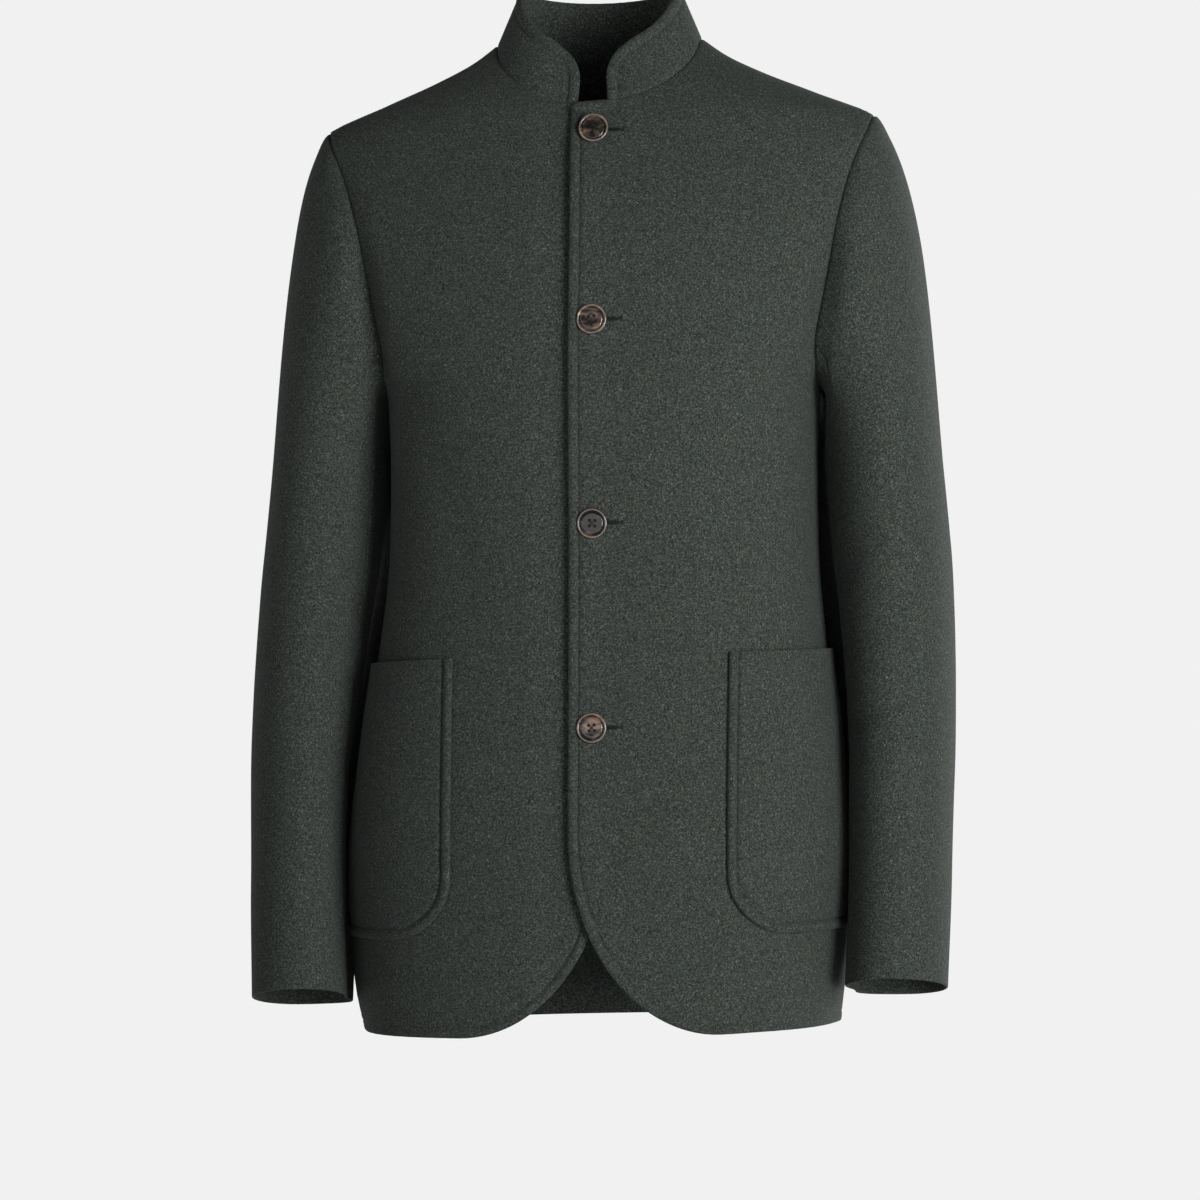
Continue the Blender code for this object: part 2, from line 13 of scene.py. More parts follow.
import bmesh
import bpy
import numpy as np
from mathutils import Matrix, Vector
from mathutils.kdtree import KDTree


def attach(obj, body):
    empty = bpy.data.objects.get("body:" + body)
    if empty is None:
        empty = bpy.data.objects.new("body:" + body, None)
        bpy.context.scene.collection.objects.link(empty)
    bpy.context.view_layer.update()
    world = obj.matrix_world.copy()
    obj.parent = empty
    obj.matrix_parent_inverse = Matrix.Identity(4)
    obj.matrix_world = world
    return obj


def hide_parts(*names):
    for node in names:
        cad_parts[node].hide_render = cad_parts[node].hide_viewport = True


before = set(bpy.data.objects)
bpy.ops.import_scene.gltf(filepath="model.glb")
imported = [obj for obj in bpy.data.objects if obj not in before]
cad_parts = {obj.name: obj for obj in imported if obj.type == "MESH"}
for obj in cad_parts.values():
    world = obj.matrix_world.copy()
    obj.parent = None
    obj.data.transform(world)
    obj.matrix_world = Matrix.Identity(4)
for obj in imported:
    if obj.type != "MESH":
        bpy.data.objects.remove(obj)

Array = np.ndarray
Pair = tuple[float, float]
Triple = tuple[float, float, float]
Stops = tuple[tuple[float, str], ...]
Tree = bpy.types.NodeTree
Socket = bpy.types.NodeSocket
Shape = bmesh.types.BMesh
log = logging.getLogger("jacket")

BODY = "root"
RADIUS_MARK = "turned_radius"   # marks on a button's points, read by its finish
SHADE_MARK = "horn_shade"
SIDE = math.pi / 2
UP = np.array((0.0, 0.0, 1.0))

# Cloth and seams, as in the solids
CLOTH = 0.0022
COLLAR_CLOTH = 0.0036
SEWN_GAP = 0.00002              # sewn edges meet
LAY_GAP = 0.0006
MERGE_DISTANCE = 1e-6
SHARP_ANGLE = math.radians(60)

# Stance of the wearer
STANCE_SLOPE = 0.024
NECK_SHIFT = -0.0038
NECK_SHIFT_START = -0.180
HIP_SWAY = -0.0030
HIP_SWAY_HEIGHTS = (-0.34, -0.60)
HIP_SWAY_WIDTHS = (0.05, 0.15)

# Heights of the body
HEM = -0.752
UNDERARM = -0.270
SHOULDER_TIP = -0.064
FRONT_NECK = -0.052
BACK_NECK = -0.008
NECK_HALF_WIDTH = 0.078

# Front edges
OVERLAP = 0.0157
OVERLAP_CORNER = 0.006
UNDERLAP_START = 0.048
UNDERLAP_FULL = 0.024
UNDERLAP_DEPTH = CLOTH + 0.0008
HEM_CURVE_WIDTH = 0.114
HEM_CURVE_HEIGHT = 0.152
HEM_CURVE_TOP = HEM + HEM_CURVE_HEIGHT
COLLAR_END_X = 0.0118
COLLAR_END_TURN = math.asin(COLLAR_END_X / NECK_HALF_WIDTH)

# Sewing
STITCH_INSET = 0.0076           # top-stitching runs this far inside an edge
COLLAR_STITCH_INSET = 0.0082
STITCH_LINE_STEP = 0.0015
GROOVE = 1.0                    # depth of the stitching's groove, as a share of the edge's swell
ARMHOLE_ROLL = (0.0019, 0.0023)  # depth and width of the roll into the armhole and side seams
NECK_ROLL = (0.0009, 0.0022)
SLEEVE_ROLL = (0.0006, 0.0020)

# Fine divisions of the cloth
EDGE_STEPS = (0.0, 0.0005, 0.0013, 0.0026, 0.0042, 0.0056, 0.0067, 0.0076, 0.0085, 0.0098, 0.0118, 0.0145)
SEAM_STEPS = (0.0, 0.0006, 0.0014, 0.0026, 0.0045)
LINE_STEP = 0.0005
ROW_POINTS = 120
SHORTEST_ROW = 1e-5
SHORT_ROW = 2.5                 # rows under this many times their fixed steps have smaller ones
NO_STEP = -1.0                  # armhole step of a row that doesn't end on the armhole

# Sockets of a colour mix, whose names repeat, and the wave scale of bands 1 mm apart
MIX_FIRST, MIX_SECOND, MIX_RESULT = 6, 7, 2
WAVE_SCALE = 314


class Hand(Enum):
    """Side of the wearer that a piece is on."""

    LEFT = 1
    RIGHT = -1

    @property
    def label(self) -> str:
        """The side's name, as in the solids' names."""
        return self.name.lower()


class Face(Enum):
    """Front or back of the body."""

    FRONT = "front"
    BACK = "back"


class Hold(Enum):
    """How a cut piece is carried."""

    HUNG = "hung"
    LAID = "laid"


class SleeveCut(Enum):
    """The two pieces of a sleeve, each with its first and last seam in steps round the armhole."""

    TOP = (-6, 9)
    UNDER = (9, 16)


def hermite(start: Any, start_slope: Any, end: Any, end_slope: Any, t: Any) -> Any:
    """Cubic curve between two values.

    Args:
        start: Value at t = 0.
        start_slope: Slope at t = 0.
        end: Value at t = 1.
        end_slope: Slope at t = 1.
        t: Place between them.

    Returns:
        The value at t.
    """
    return (
        start * ((1 + 2 * t) * (1 - t) ** 2)
        + start_slope * (t * (1 - t) ** 2)
        + end * (t * t * (3 - 2 * t))
        - end_slope * (t * t * (1 - t))
    )


def ease(value: Any, start: float, end: float) -> Any:
    """0 at start, 1 at end and smooth between."""
    t = np.clip((value - start) / (end - start), 0.0, 1.0)
    return t * t * (3 - 2 * t)


def unit(vectors: Array) -> Array:
    """Vectors of the same directions, one long."""
    return vectors / np.linalg.norm(vectors, axis=-1, keepdims=True)


def mirror_x(points: Array) -> Array:
    """Points or directions on the other side of the body."""
    return points * np.array((-1.0, 1.0, 1.0))


def stance(points: Array) -> Array:
    """Worn place of points: the left side is carried higher, and the neck and hips lean to the right.

    Args:
        points: Array whose last axis is x, y, z.

    Returns:
        The moved points.
    """
    x, height = points[..., 0], points[..., 2]
    moved = points.copy()
    moved[..., 0] += NECK_SHIFT * ease(height, NECK_SHIFT_START, 0.0)
    moved[..., 0] += HIP_SWAY * ease(height, *HIP_SWAY_HEIGHTS) * ease(np.abs(x), *HIP_SWAY_WIDTHS)
    moved[..., 2] += STANCE_SLOPE * x
    return moved


def run_along(line: Array) -> Array:
    """Distance along a line of points to each of them."""
    steps = np.linalg.norm(np.diff(line, axis=0), axis=1)
    return np.concatenate(([0.0], np.cumsum(steps)))


def along_line(line: Array, run: Array, places: Any) -> Array:
    """Points at distances along a line, given the run to each of its points."""
    return np.stack([np.interp(places, run, line[:, i]) for i in range(line.shape[1])], axis=-1)


def resample(line: Array, spacing: float) -> Array:
    """Points at an even spacing along a line.

    Args:
        line: Points of the line.
        spacing: Largest distance between the new points.

    Returns:
        The new points, with both ends kept.
    """
    run = run_along(line)
    count = max(2, int(math.ceil(run[-1] / spacing)) + 1)
    return along_line(line, run, np.linspace(0.0, run[-1], count))


def nearest_on(points: Array, line: Array, spacing: float = LINE_STEP) -> tuple[Array, Array]:
    """How far points lie from a line.

    Args:
        points: Array whose last axis is x, y, z.
        line: Points of the line.
        spacing: How finely the line is divided.

    Returns:
        The distances, and the share of the line's length at the nearest place, in the points' own layout.
    """
    fine = resample(line, spacing)
    tree = KDTree(len(fine))
    for index, place in enumerate(fine):
        tree.insert(place, index)
    tree.balance()
    index, distance = np.array([tree.find(point)[1:] for point in points.reshape(-1, 3)]).T
    shape = points.shape[:-1]
    return distance.reshape(shape), (index / (len(fine) - 1)).reshape(shape)


def graded(length: float, count: int, start: Sequence[float], end: Sequence[float]) -> Array:
    """Places along a length, close together in fixed steps at both ends and even between.

    Args:
        length: The whole length.
        count: How many even places lie between the fixed ones.
        start: Fixed distances from the start.
        end: Fixed distances from the end.

    Returns:
        The places, from 0 to the length.
    """
    scale = min(1.0, length / (SHORT_ROW * (start[-1] + end[-1])))
    first = np.array(start) * scale
    last = length - np.array(end)[::-1] * scale
    between = np.linspace(first[-1], last[0], count + 2)[1:-1]
    return np.concatenate((first, between, last))


def foot_first(size: float, steps: int) -> Array:
    """Heights up a quarter round, closest together at its foot, without its top."""
    return size * (1 - np.cos(SIDE * np.arange(steps) / steps))


@dataclass(frozen=True)
class HeightTable:
    """Sizes by height, joined by smooth curves that never overshoot.

    Attributes:
        columns: Names of the columns, the height first.
        rows: The sizes, in any order of height.
    """

    columns: tuple[str, ...]
    rows: tuple[tuple[float, ...], ...]

    def at(self, column: str, height: Any) -> Array:
        """Values of a column.

        Args:
            column: Its name.
            height: Number or array of heights.

        Returns:
            The column's values at those heights.
        """
        table = np.array(sorted(self.rows))
        heights, values = table[:, 0], table[:, self.columns.index(column)]
        spans = np.diff(heights)
        rises = np.diff(values) / spans
        slopes = np.concatenate(([rises[0]], np.zeros(len(values) - 2), [rises[-1]]))
        for i in range(1, len(values) - 1):
            if rises[i - 1] * rises[i] > 0:
                first, second = 2 * spans[i] + spans[i - 1], spans[i] + 2 * spans[i - 1]
                slopes[i] = (first + second) / (first / rises[i - 1] + second / rises[i])
        height = np.clip(height, heights[0], heights[-1])
        index = np.clip(np.searchsorted(heights, height, side="right") - 1, 0, len(spans) - 1)
        span = spans[index]
        t = (height - heights[index]) / span
        return hermite(values[index], slopes[index] * span, values[index + 1], slopes[index + 1] * span, t)


@dataclass(frozen=True)
class Fold:
    """A soft trough or ridge in the cloth, placed one by one.

    Attributes:
        path: Places that it runs through, in the two numbers by which its form is drawn.
        width: Half width of the trough.
        depth: How far it sinks. Negative is a ridge.
        full: Share of its length where it is deepest.
    """

    path: tuple[Pair, ...]
    width: float
    depth: float
    full: float = 0.5
    path_step: float = 0.02
    line_step: float = 0.002

    def sink(self, points: Array, draw: Callable[[Array, Array], Array]) -> Array:
        """How far the fold moves points inwards.

        Args:
            points: Points of the cloth, on the wearer's own side.
            draw: Function that turns the path's two numbers into points of the form.

        Returns:
            The distance inwards at each point.
        """
        ways = resample(np.array(self.path), self.path_step)
        distance, share = nearest_on(points, draw(ways[:, 0], ways[:, 1]), self.line_step)
        bend = math.log(0.5) / math.log(self.full)
        along = 1 - (1 - np.sin(np.pi * np.clip(share, 0.0, 1.0) ** bend)) ** 2
        return self.depth * along * np.exp(-((distance / self.width) ** 2))


def sink_all(folds: Sequence[Fold], points: Array, draw: Callable[[Array, Array], Array]) -> Array:
    """How far folds together move points inwards."""
    return sum((fold.sink(points, draw) for fold in folds), np.zeros(points.shape[:-1]))


@dataclass(frozen=True)
class BodyForm:
    """The body's smooth form, a stack of rounded sections.

    Attributes:
        sections: Half width, depth in front and behind, and squareness by height.
        side_seam: Turn of the side seam by height.
        folds: Folds of the body, drawn by turn in degrees, positive to the left, and height.
    """

    sections: HeightTable
    side_seam: HeightTable
    folds: tuple[Fold, ...]
    turn_step: float = 0.004
    height_step: float = 0.0008

    def point(self, turn: Array, height: Array) -> Array:
        """Points of the outer face.

        Args:
            turn: 0 at the centre front and SIDE at the left side.
            height: Heights.

        Returns:
            The points, before the stance.
        """
        turn, height = np.broadcast_arrays(turn, height)
        across, ahead = np.sin(turn), np.cos(turn)
        half_width = self.sections.at("half_width", height)
        depth = np.where(ahead > 0, self.sections.at("front", height), self.sections.at("back", height))
        power = self.sections.at("squareness", height)
        reach = (np.abs(across) / half_width) ** power + (np.abs(ahead) / depth) ** power
        radius = reach ** (-1 / power)
        return np.stack((radius * across, -radius * ahead, height), axis=-1)

    def normal(self, turn: Array, height: Array) -> Array:
        """Outward directions of the face.

        Args:
            turn: Turns, as for points.
            height: Heights.

        Returns:
            The directions.
        """
        high = np.minimum(height + self.height_step, 0.0)
        around = self.point(turn + self.turn_step, height) - self.point(turn - self.turn_step, height)
        upward = self.point(turn, high) - self.point(turn, height - self.height_step)
        return unit(np.cross(around, upward))

    def turn_at(self, x: Any, height: Any, face: Face = Face.FRONT) -> Array:
        """Turn at which a face is this far out.

        Args:
            x: How far out.
            height: At which height.
            face: Front or back.

        Returns:
            The turns.
        """
        half_width = self.sections.at("half_width", height)
        depth = self.sections.at(face.value, height)
        power = self.sections.at("squareness", height)
        y = depth * (1 - np.minimum(1.0, np.abs(x) / half_width) ** power) ** (1 / power)
        return np.arctan2(x, y if face is Face.FRONT else -y)

    def side_turn(self, height: Any, towards: int) -> Array:
        """Turn of a panel's edge on the side seam. towards is -1 for a front and +1 for the back."""
        gap = SEWN_GAP / 2 / self.sections.at("half_width", height)
        return self.side_seam.at("turn", height) + towards * gap

    def neck_places(self, face: Face, angles: Array, drop: float = 0.0) -> tuple[Array, Array]:
        """Places up a neckline, which is a quarter of an ellipse.

        Args:
            face: Front or back neckline.
            angles: 0 at the middle and SIDE at the shoulder seam.
            drop: How far below the neckline.

        Returns:
            Heights and turns.
        """
        lowest = FRONT_NECK if face is Face.FRONT else BACK_NECK
        heights = lowest * np.cos(angles) - drop
        return heights, self.turn_at(NECK_HALF_WIDTH * np.sin(angles), heights, face)

    def row_turns(self, ends: Pair, height: float, count: int, *steps: Sequence[float]) -> Array:
        """Turns along a level row of cloth, close together at its ends.

        Args:
            ends: Turns where the row starts and ends.
            height: The row's height.
            count: How many even places lie between the fixed ones.
            steps: Fixed distances from the start and from the end.

        Returns:
            The turns.
        """
        turns = np.linspace(*ends, ROW_POINTS)
        run = run_along(self.point(turns, np.full_like(turns, height)))
        length = max(SHORTEST_ROW, float(run[-1]))
        places = graded(length, count, *steps) / length
        return np.interp(places * run[-1], run, turns)

    def draw_fold(self, turn_degrees: Array, height: Array) -> Array:
        """Points of the form for a fold's path."""
        return self.point(np.radians(turn_degrees), height)

    def sink(self, points: Array) -> Array:
        """How far all of the body's folds move points inwards."""
        return sink_all(self.folds, points, self.draw_fold)


@dataclass(frozen=True)
class SleeveForm:
    """The left sleeve's form and the armhole that it starts from.

    Attributes:
        body: The body's form.
        armhole: How far out the armhole's front and back edges lie, from the shoulder tip down.
        sections: Rounded sections of the arm by height.
        folds: Folds of each sleeve, drawn by steps round the armhole and by place along the sleeve.
        creases: Folds along the armhole seam, which the body and the sleeve share.
    """

    body: BodyForm
    armhole: tuple[Triple, ...]
    sections: HeightTable
    folds: dict[Hand, tuple[Fold, ...]]
    creases: tuple[Fold, ...]
    steps: int = 11
    start_pull: float = 0.55
    head_way: tuple[float, ...] = (0.80, 0.35, 0.55, 0.20)
    arm_way: Triple = (0.09, 0.0, -1.0)
    mitre: float = 0.40
    top: float = -0.330
    cuff: float = -0.7245
    nudge: float = 0.02

    def armhole_row(self, step: Array) -> Array:
        """Sizes of the armhole.

        Args:
            step: 0 at the shoulder tip and the number of steps at the underarm.

        Returns:
            Height, front and back.
        """
        rows = np.array(self.armhole)
        last = len(rows) - 1
        place = step / self.steps * last
        index = np.clip(np.floor(place).astype(int), 0, last - 1)
        t = (place - index)[..., None]
        before, start, end, after = (rows[np.clip(index + i, 0, last)] for i in (-1, 0, 1, 2))
        return hermite(start, (end - before) / 2, end, (after - start) / 2, t)

    def armhole_turn(self, around: Array) -> tuple[Array, Array]:
        """Places on the armhole.

        Args:
            around: Steps from the shoulder tip down the front and up the back.

        Returns:
            Turns and heights.
        """
        around = np.asarray(around, float) % (2 * self.steps)
        row = self.armhole_row(np.minimum(around, 2 * self.steps - around))
        height = row[..., 0]
        ahead = self.body.turn_at(row[..., 1], height, Face.FRONT)
        behind = self.body.turn_at(row[..., 2], height, Face.BACK)
        return np.where(around <= self.steps, ahead, behind), height

    def armhole_inward(self, around: Array) -> Array:
        """Direction in the body's face from the armhole's edge into the hole, at steps round it."""
        before, after = (
            self.body.point(*self.armhole_turn(around + way)) for way in (-self.nudge, self.nudge)
        )
        return unit(np.cross(self.body.normal(*self.armhole_turn(around)), after - before))

    def ring(self, height: Array, around: Array) -> Array:
        """Points of the arm's rounded section.

        Args:
            height: Height of the section's middle.
            around: Steps round, as on the armhole.

        Returns:
            The points.
        """
        size = {name: self.sections.at(name, height) for name in self.sections.columns[1:]}
        angle = np.pi * around / self.steps
        resting = (np.pi < angle % math.tau) & (angle % math.tau < 1.5 * np.pi)
        swell = np.where(resting, size["rest"] * np.sin(2 * angle) ** 2, 0.0)
        x, y = size["half_width"] * np.cos(angle), -size["half_depth"] * np.sin(angle)
        twist, pitch = -np.radians(size["twist"]), -np.radians(size["pitch"])
        x, y = x * np.cos(twist) - y * np.sin(twist), x * np.sin(twist) + y * np.cos(twist)
        x = x - swell
        y, z = y * np.cos(pitch) + size["fore"], y * np.sin(pitch) + height
        return np.stack((x + size["out"], y, z), axis=-1)

    def point(self, around: Array, along: Array) -> Array:
        """Points of the left sleeve.

        Args:
            around: Steps round the armhole.
            along: 0 at the armhole, 1 at the foot of the head and 2 at the cuff.

        Returns:
            The points, before the stance.
        """
        around, along = np.broadcast_arrays(np.asarray(around, float), np.asarray(along, float))
        run = self.cuff - self.top
        arm = self.ring(self.top + run * np.clip(along - 1, 0.0, 1.0), around)
        arm = arm + (np.maximum(along - 2, 0.0) * run)[..., None] * UP
        start = self.body.point(*self.armhole_turn(around)) + self.armhole_inward(around) * (SEWN_GAP / 2)
        end = self.ring(np.full_like(around, self.top), around)
        angle = np.pi * around / self.steps
        out, ahead, down, turn_down = self.head_way
        ways = (np.full_like(angle, out), -ahead * np.sin(angle), -down - turn_down * np.cos(angle))
        length = np.linalg.norm(end - start, axis=-1, keepdims=True)
        start_slope = unit(np.stack(ways, axis=-1)) * length * self.start_pull
        end_slope = unit(np.array(self.arm_way)) * length
        head = hermite(start, start_slope, end, end_slope, np.clip(along, 0, 1)[..., None])
        return np.where((along >= 1)[..., None], arm, head)

    def normal(self, around: Array, along: Array) -> Array:
        """Outward directions of the sleeve's face.

        Args:
            around: Steps round the armhole.
            along: Places along the sleeve.

        Returns:
            The directions.
        """
        high, low = np.maximum(0.0, along - self.nudge), np.minimum(2.0, along + self.nudge)
        down = self.point(around, low) - self.point(around, high)
        across = self.point(around + self.nudge, along) - self.point(around - self.nudge, along)
        return unit(np.cross(across, down))

    def seam_mitre(self, around: Array) -> Array:
        """Outward direction half way between the body's face and the sleeve's, along the armhole seam."""
        sleeve = self.normal(around, np.zeros_like(around))
        return unit(self.body.normal(*self.armhole_turn(around)) + sleeve)

    def wall_way(self, around: Array, along: Array) -> Array:
        """Direction through the wall: the seam's mitre at the armhole, then the sleeve's own."""
        share = ease(along, 0.0, self.mitre)[..., None]
        return unit(self.seam_mitre(around) * (1 - share) + self.normal(around, along) * share)

    def sink(self, points: Array, hand: Hand) -> Array:
        """How far one sleeve's folds move points, given on the left side, inwards."""
        return sink_all((*self.creases, *self.folds[hand]), points, self.point)

    def crease(self, points: Array) -> Array:
        """How far the armhole's creases move points, given on the left side, inwards."""
        return sink_all(self.creases, points, self.point)


@dataclass
class ClothGrid:
    """A sheet of cloth as rows and columns of points.

    Attributes:
        base: Points of the outer face.
        wall: Outward directions.
        lift: How far the outer face stands out from the base.
        under: How far the inner face stands out from a wall of even thickness.
    """

    base: Array
    wall: Array
    lift: Array
    under: Array
    edge_radius: float = 0.0010
    edge_round: float = 0.85
    most_roll: float = 0.95
    swell_lean: float = 0.8
    groove_width: float = 0.0011

    @classmethod
    def plain(cls, base: Array, wall: Array) -> "ClothGrid":
        """A grid with nothing raised."""
        return cls(base, wall, np.zeros(base.shape[:-1]), np.zeros(base.shape[:-1]))

    def finish_edge(self, line: Array, swell: Any = 0.0, inset: float = STITCH_INSET) -> None:
        """Rounds a folded edge and, if it is top-stitched, swells it up to the sunk stitch line.

        Args:
            line: Points of the edge.
            swell: How far the edge swells, one number or one for each point.
            inset: Distance from the edge to the stitching.
        """
        distance, _ = nearest_on(self.base, line)
        roll = np.clip(1 - distance / self.edge_radius, 0.0, self.most_roll)
        drop = self.edge_radius * self.edge_round * (1 - np.sqrt(1 - roll**2))
        self.lift -= drop
        self.under += drop
        if np.any(swell):
            share = np.clip(distance / inset, 0.0, 1.0)
            self.lift += swell * np.sin(np.pi * share**self.swell_lean) * (distance < inset)
            self.lift -= GROOVE * swell * np.exp(-(((distance - inset) / self.groove_width) ** 2))

    def roll_seam(self, line: Array, depth: float, width: float) -> None:
        """Rolls the outer face down into a sewn seam, by a depth at its edge and over a width."""
        distance, _ = nearest_on(self.base, line)
        self.lift -= depth * np.clip(1 - distance / width, 0.0, 1.0) ** 2

    def sides(self, thickness: float, sink: Array) -> tuple[Array, Array]:
        """Outer and inner points of a wall of a thickness, moved inwards by folds."""
        outer = self.base + self.wall * (self.lift - sink)[..., None]
        return outer, self.base + self.wall * (self.under - thickness - sink)[..., None]


def to_linear(colour: str) -> tuple[float, float, float, float]:
    """Turns an sRGB colour into a linear one.

    Args:
        colour: Hex value such as "#3f4441".

    Returns:
        Red, green, blue and an opacity of 1.
    """
    parts = [int(colour[i : i + 2], 16) / 255 for i in (1, 3, 5)]
    linear = [part / 12.92 if part <= 0.04045 else ((part + 0.055) / 1.055) ** 2.4 for part in parts]
    return (linear[0], linear[1], linear[2], 1.0)


def add_node(tree: Tree, kind: str, inputs: dict[str | int, Any]) -> bpy.types.Node:
    """Adds a node.

    Args:
        tree: Node tree that it goes in.
        kind: The node's type.
        inputs: Values or sockets to link, by the name of a property or by the name or number of an input.

    Returns:
        The new node.
    """
    made = tree.nodes.new(f"ShaderNode{kind}")
    for name, value in inputs.items():
        if isinstance(value, Socket):
            tree.links.new(value, made.inputs[name])
        elif isinstance(name, str) and hasattr(made, name):
            setattr(made, name, value)
        else:
            made.inputs[name].default_value = value
    return made


def object_place(tree: Tree) -> Socket:
    """Place on the object, in metres."""
    return add_node(tree, "TexCoord", {}).outputs["Object"]


def add_noise(tree: Tree, place: Any, size_mm: float, **settings: float) -> Socket:
    """Adds noise with grains of a size in millimetres, and other settings by the names of its inputs."""
    return add_node(tree, "TexNoise", {"Vector": place, "Scale": 1000 / size_mm, **settings}).outputs["Fac"]


def add_ramp(tree: Tree, source: Any, stops: Stops) -> Socket:
    """Adds a colour ramp.

    Args:
        tree: Node tree that it goes in.
        source: Socket that runs along it.
        stops: Place and sRGB hex colour of each stop.

    Returns:
        The socket of its colour.
    """
    ramp = add_node(tree, "ValToRGB", {"Fac": source})
    elements = ramp.color_ramp.elements
    while len(elements) > 1:
        elements.remove(elements[-1])
    elements[0].position, elements[0].color = stops[0][0], to_linear(stops[0][1])
    for place, colour in stops[1:]:
        elements.new(place).color = to_linear(colour)
    return ramp.outputs["Color"]


def add_mix(tree: Tree, first: Any, second: Any, factor: Any, way: str = "MIX") -> Socket:
    """Adds a mix of two colours by a factor, each a socket or a value."""
    inputs = {"data_type": "RGBA", "blend_type": way, "Factor": factor, MIX_FIRST: first, MIX_SECOND: second}
    return add_node(tree, "Mix", inputs).outputs[MIX_RESULT]


def add_surface(tree: Tree, inputs: dict[str | int, Any]) -> None:
    """Adds a material's shader and output."""
    shader = add_node(tree, "BsdfPrincipled", inputs)
    add_node(tree, "OutputMaterial", {"Surface": shader.outputs["BSDF"]})


class Finish:
    """A named procedural material, made once when it is first needed."""

    name: str

    def material(self) -> bpy.types.Material:
        """Finds or makes the finish's material.

        Returns:
            The material.
        """
        found = bpy.data.materials.get(self.name)
        if found is None:
            found = bpy.data.materials.new(self.name)
            found.use_nodes = True
            found.node_tree.nodes.clear()
            self.dress(found.node_tree)
        return found

    def dress(self, tree: Tree) -> None:
        """Adds the finish's nodes."""
        raise NotImplementedError


@dataclass(frozen=True)
class FeltedWool(Finish):
    """Felted melange wool: matt, with flecks of blended fibre and a short nap that lights up its edges.

    Attributes:
        name: Name of the material.
        fleck_mm: Size of a fleck of one fibre colour.
        fibre_mm: Width of the loose fibres on the face.
        blend_mm: Size of the drifts between olive and blue fibre.
        nap_mm: Size of the nap's tufts.
        leans: Leans of the loose fibres.
        flecks: Colours of the flecks, from dark to pale.
        drifts: Tints of the drifts, from blue to olive.
        drift_share: How strongly they tint the flecks.
        loose: Colour of the loose fibres.
        edge: Tint of the nap where it catches light.
    """

    name: str = "felted_melange_wool"
    # Real fibres are about 0.03 mm and their flecks 0.3 mm wide, too fine to show, so they are drawn coarser
    fleck_mm: float = 1.25
    fibre_mm: float = 0.60
    blend_mm: float = 4.5
    nap_mm: float = 1.1
    leans: tuple[float, ...] = (0.75, -0.55, 1.65)
    flecks: Stops = (
        (0.26, "#0e100f"), (0.40, "#212422"), (0.52, "#2f3331"), (0.64, "#464a47"), (0.78, "#787c76"),
    )
    drifts: Stops = ((0.34, "#a9bcc4"), (0.50, "#bcc4bb"), (0.66, "#cfc8a4"))
    drift_share: float = 0.35
    loose: str = "#808782"
    edge: str = "#9aa59e"

    def dress(self, tree: Tree) -> None:
        """Mixes dark, olive, blue and pale fibre flecks, and raises the nap with them.

        Args:
            tree: The material's nodes.
        """
        place = object_place(tree)
        # Dark and pale flecks give the eye a grainy grey cloth, and the drift turns it from blue to olive
        fleck = add_noise(tree, place, self.fleck_mm, Detail=3.0, Roughness=0.62, Distortion=0.4)
        ground = add_ramp(tree, fleck, self.flecks)
        drift = add_noise(tree, place, self.blend_mm, Detail=2.0, Roughness=0.7)
        blended = add_mix(tree, ground, add_ramp(tree, drift, self.drifts), self.drift_share, "OVERLAY")
        # Loose pale fibres lie over it in three leans
        fibres: Any = 0.0
        for lean in self.leans:
            drawn = {"vector_type": "TEXTURE", "Rotation": (0.25, lean, 0.2), "Scale": (1.0, 1.0, 3.4)}
            laid = add_node(tree, "Mapping", {**drawn, "Vector": place}).outputs["Vector"]
            strand = add_noise(tree, laid, self.fibre_mm, Detail=1.0, Distortion=0.5)
            fibres = add_node(tree, "Math", {"operation": "MAXIMUM", 0: strand, 1: fibres}).outputs["Value"]
        showing = {"From Min": 0.60, "From Max": 0.78, "To Max": 0.34}
        pale = add_node(tree, "MapRange", {"Value": fibres, **showing}).outputs["Result"]
        napped = add_mix(tree, blended, to_linear(self.loose), pale)
        nap = add_noise(tree, place, self.nap_mm, Detail=2.0, Roughness=0.7)
        relief = add_node(tree, "Bump", {"Strength": 0.55, "Distance": 0.0005, "Height": nap})
        # The nap scatters light, so the cloth is matt with a soft pale edge
        add_surface(tree, {
            "Base Color": napped, "Normal": relief.outputs["Normal"], "Roughness": 0.92, "IOR": 1.45,
            "Specular IOR Level": 0.20, "Sheen Weight": 0.16, "Sheen Roughness": 0.45,
            "Sheen Tint": to_linear(self.edge),
        })


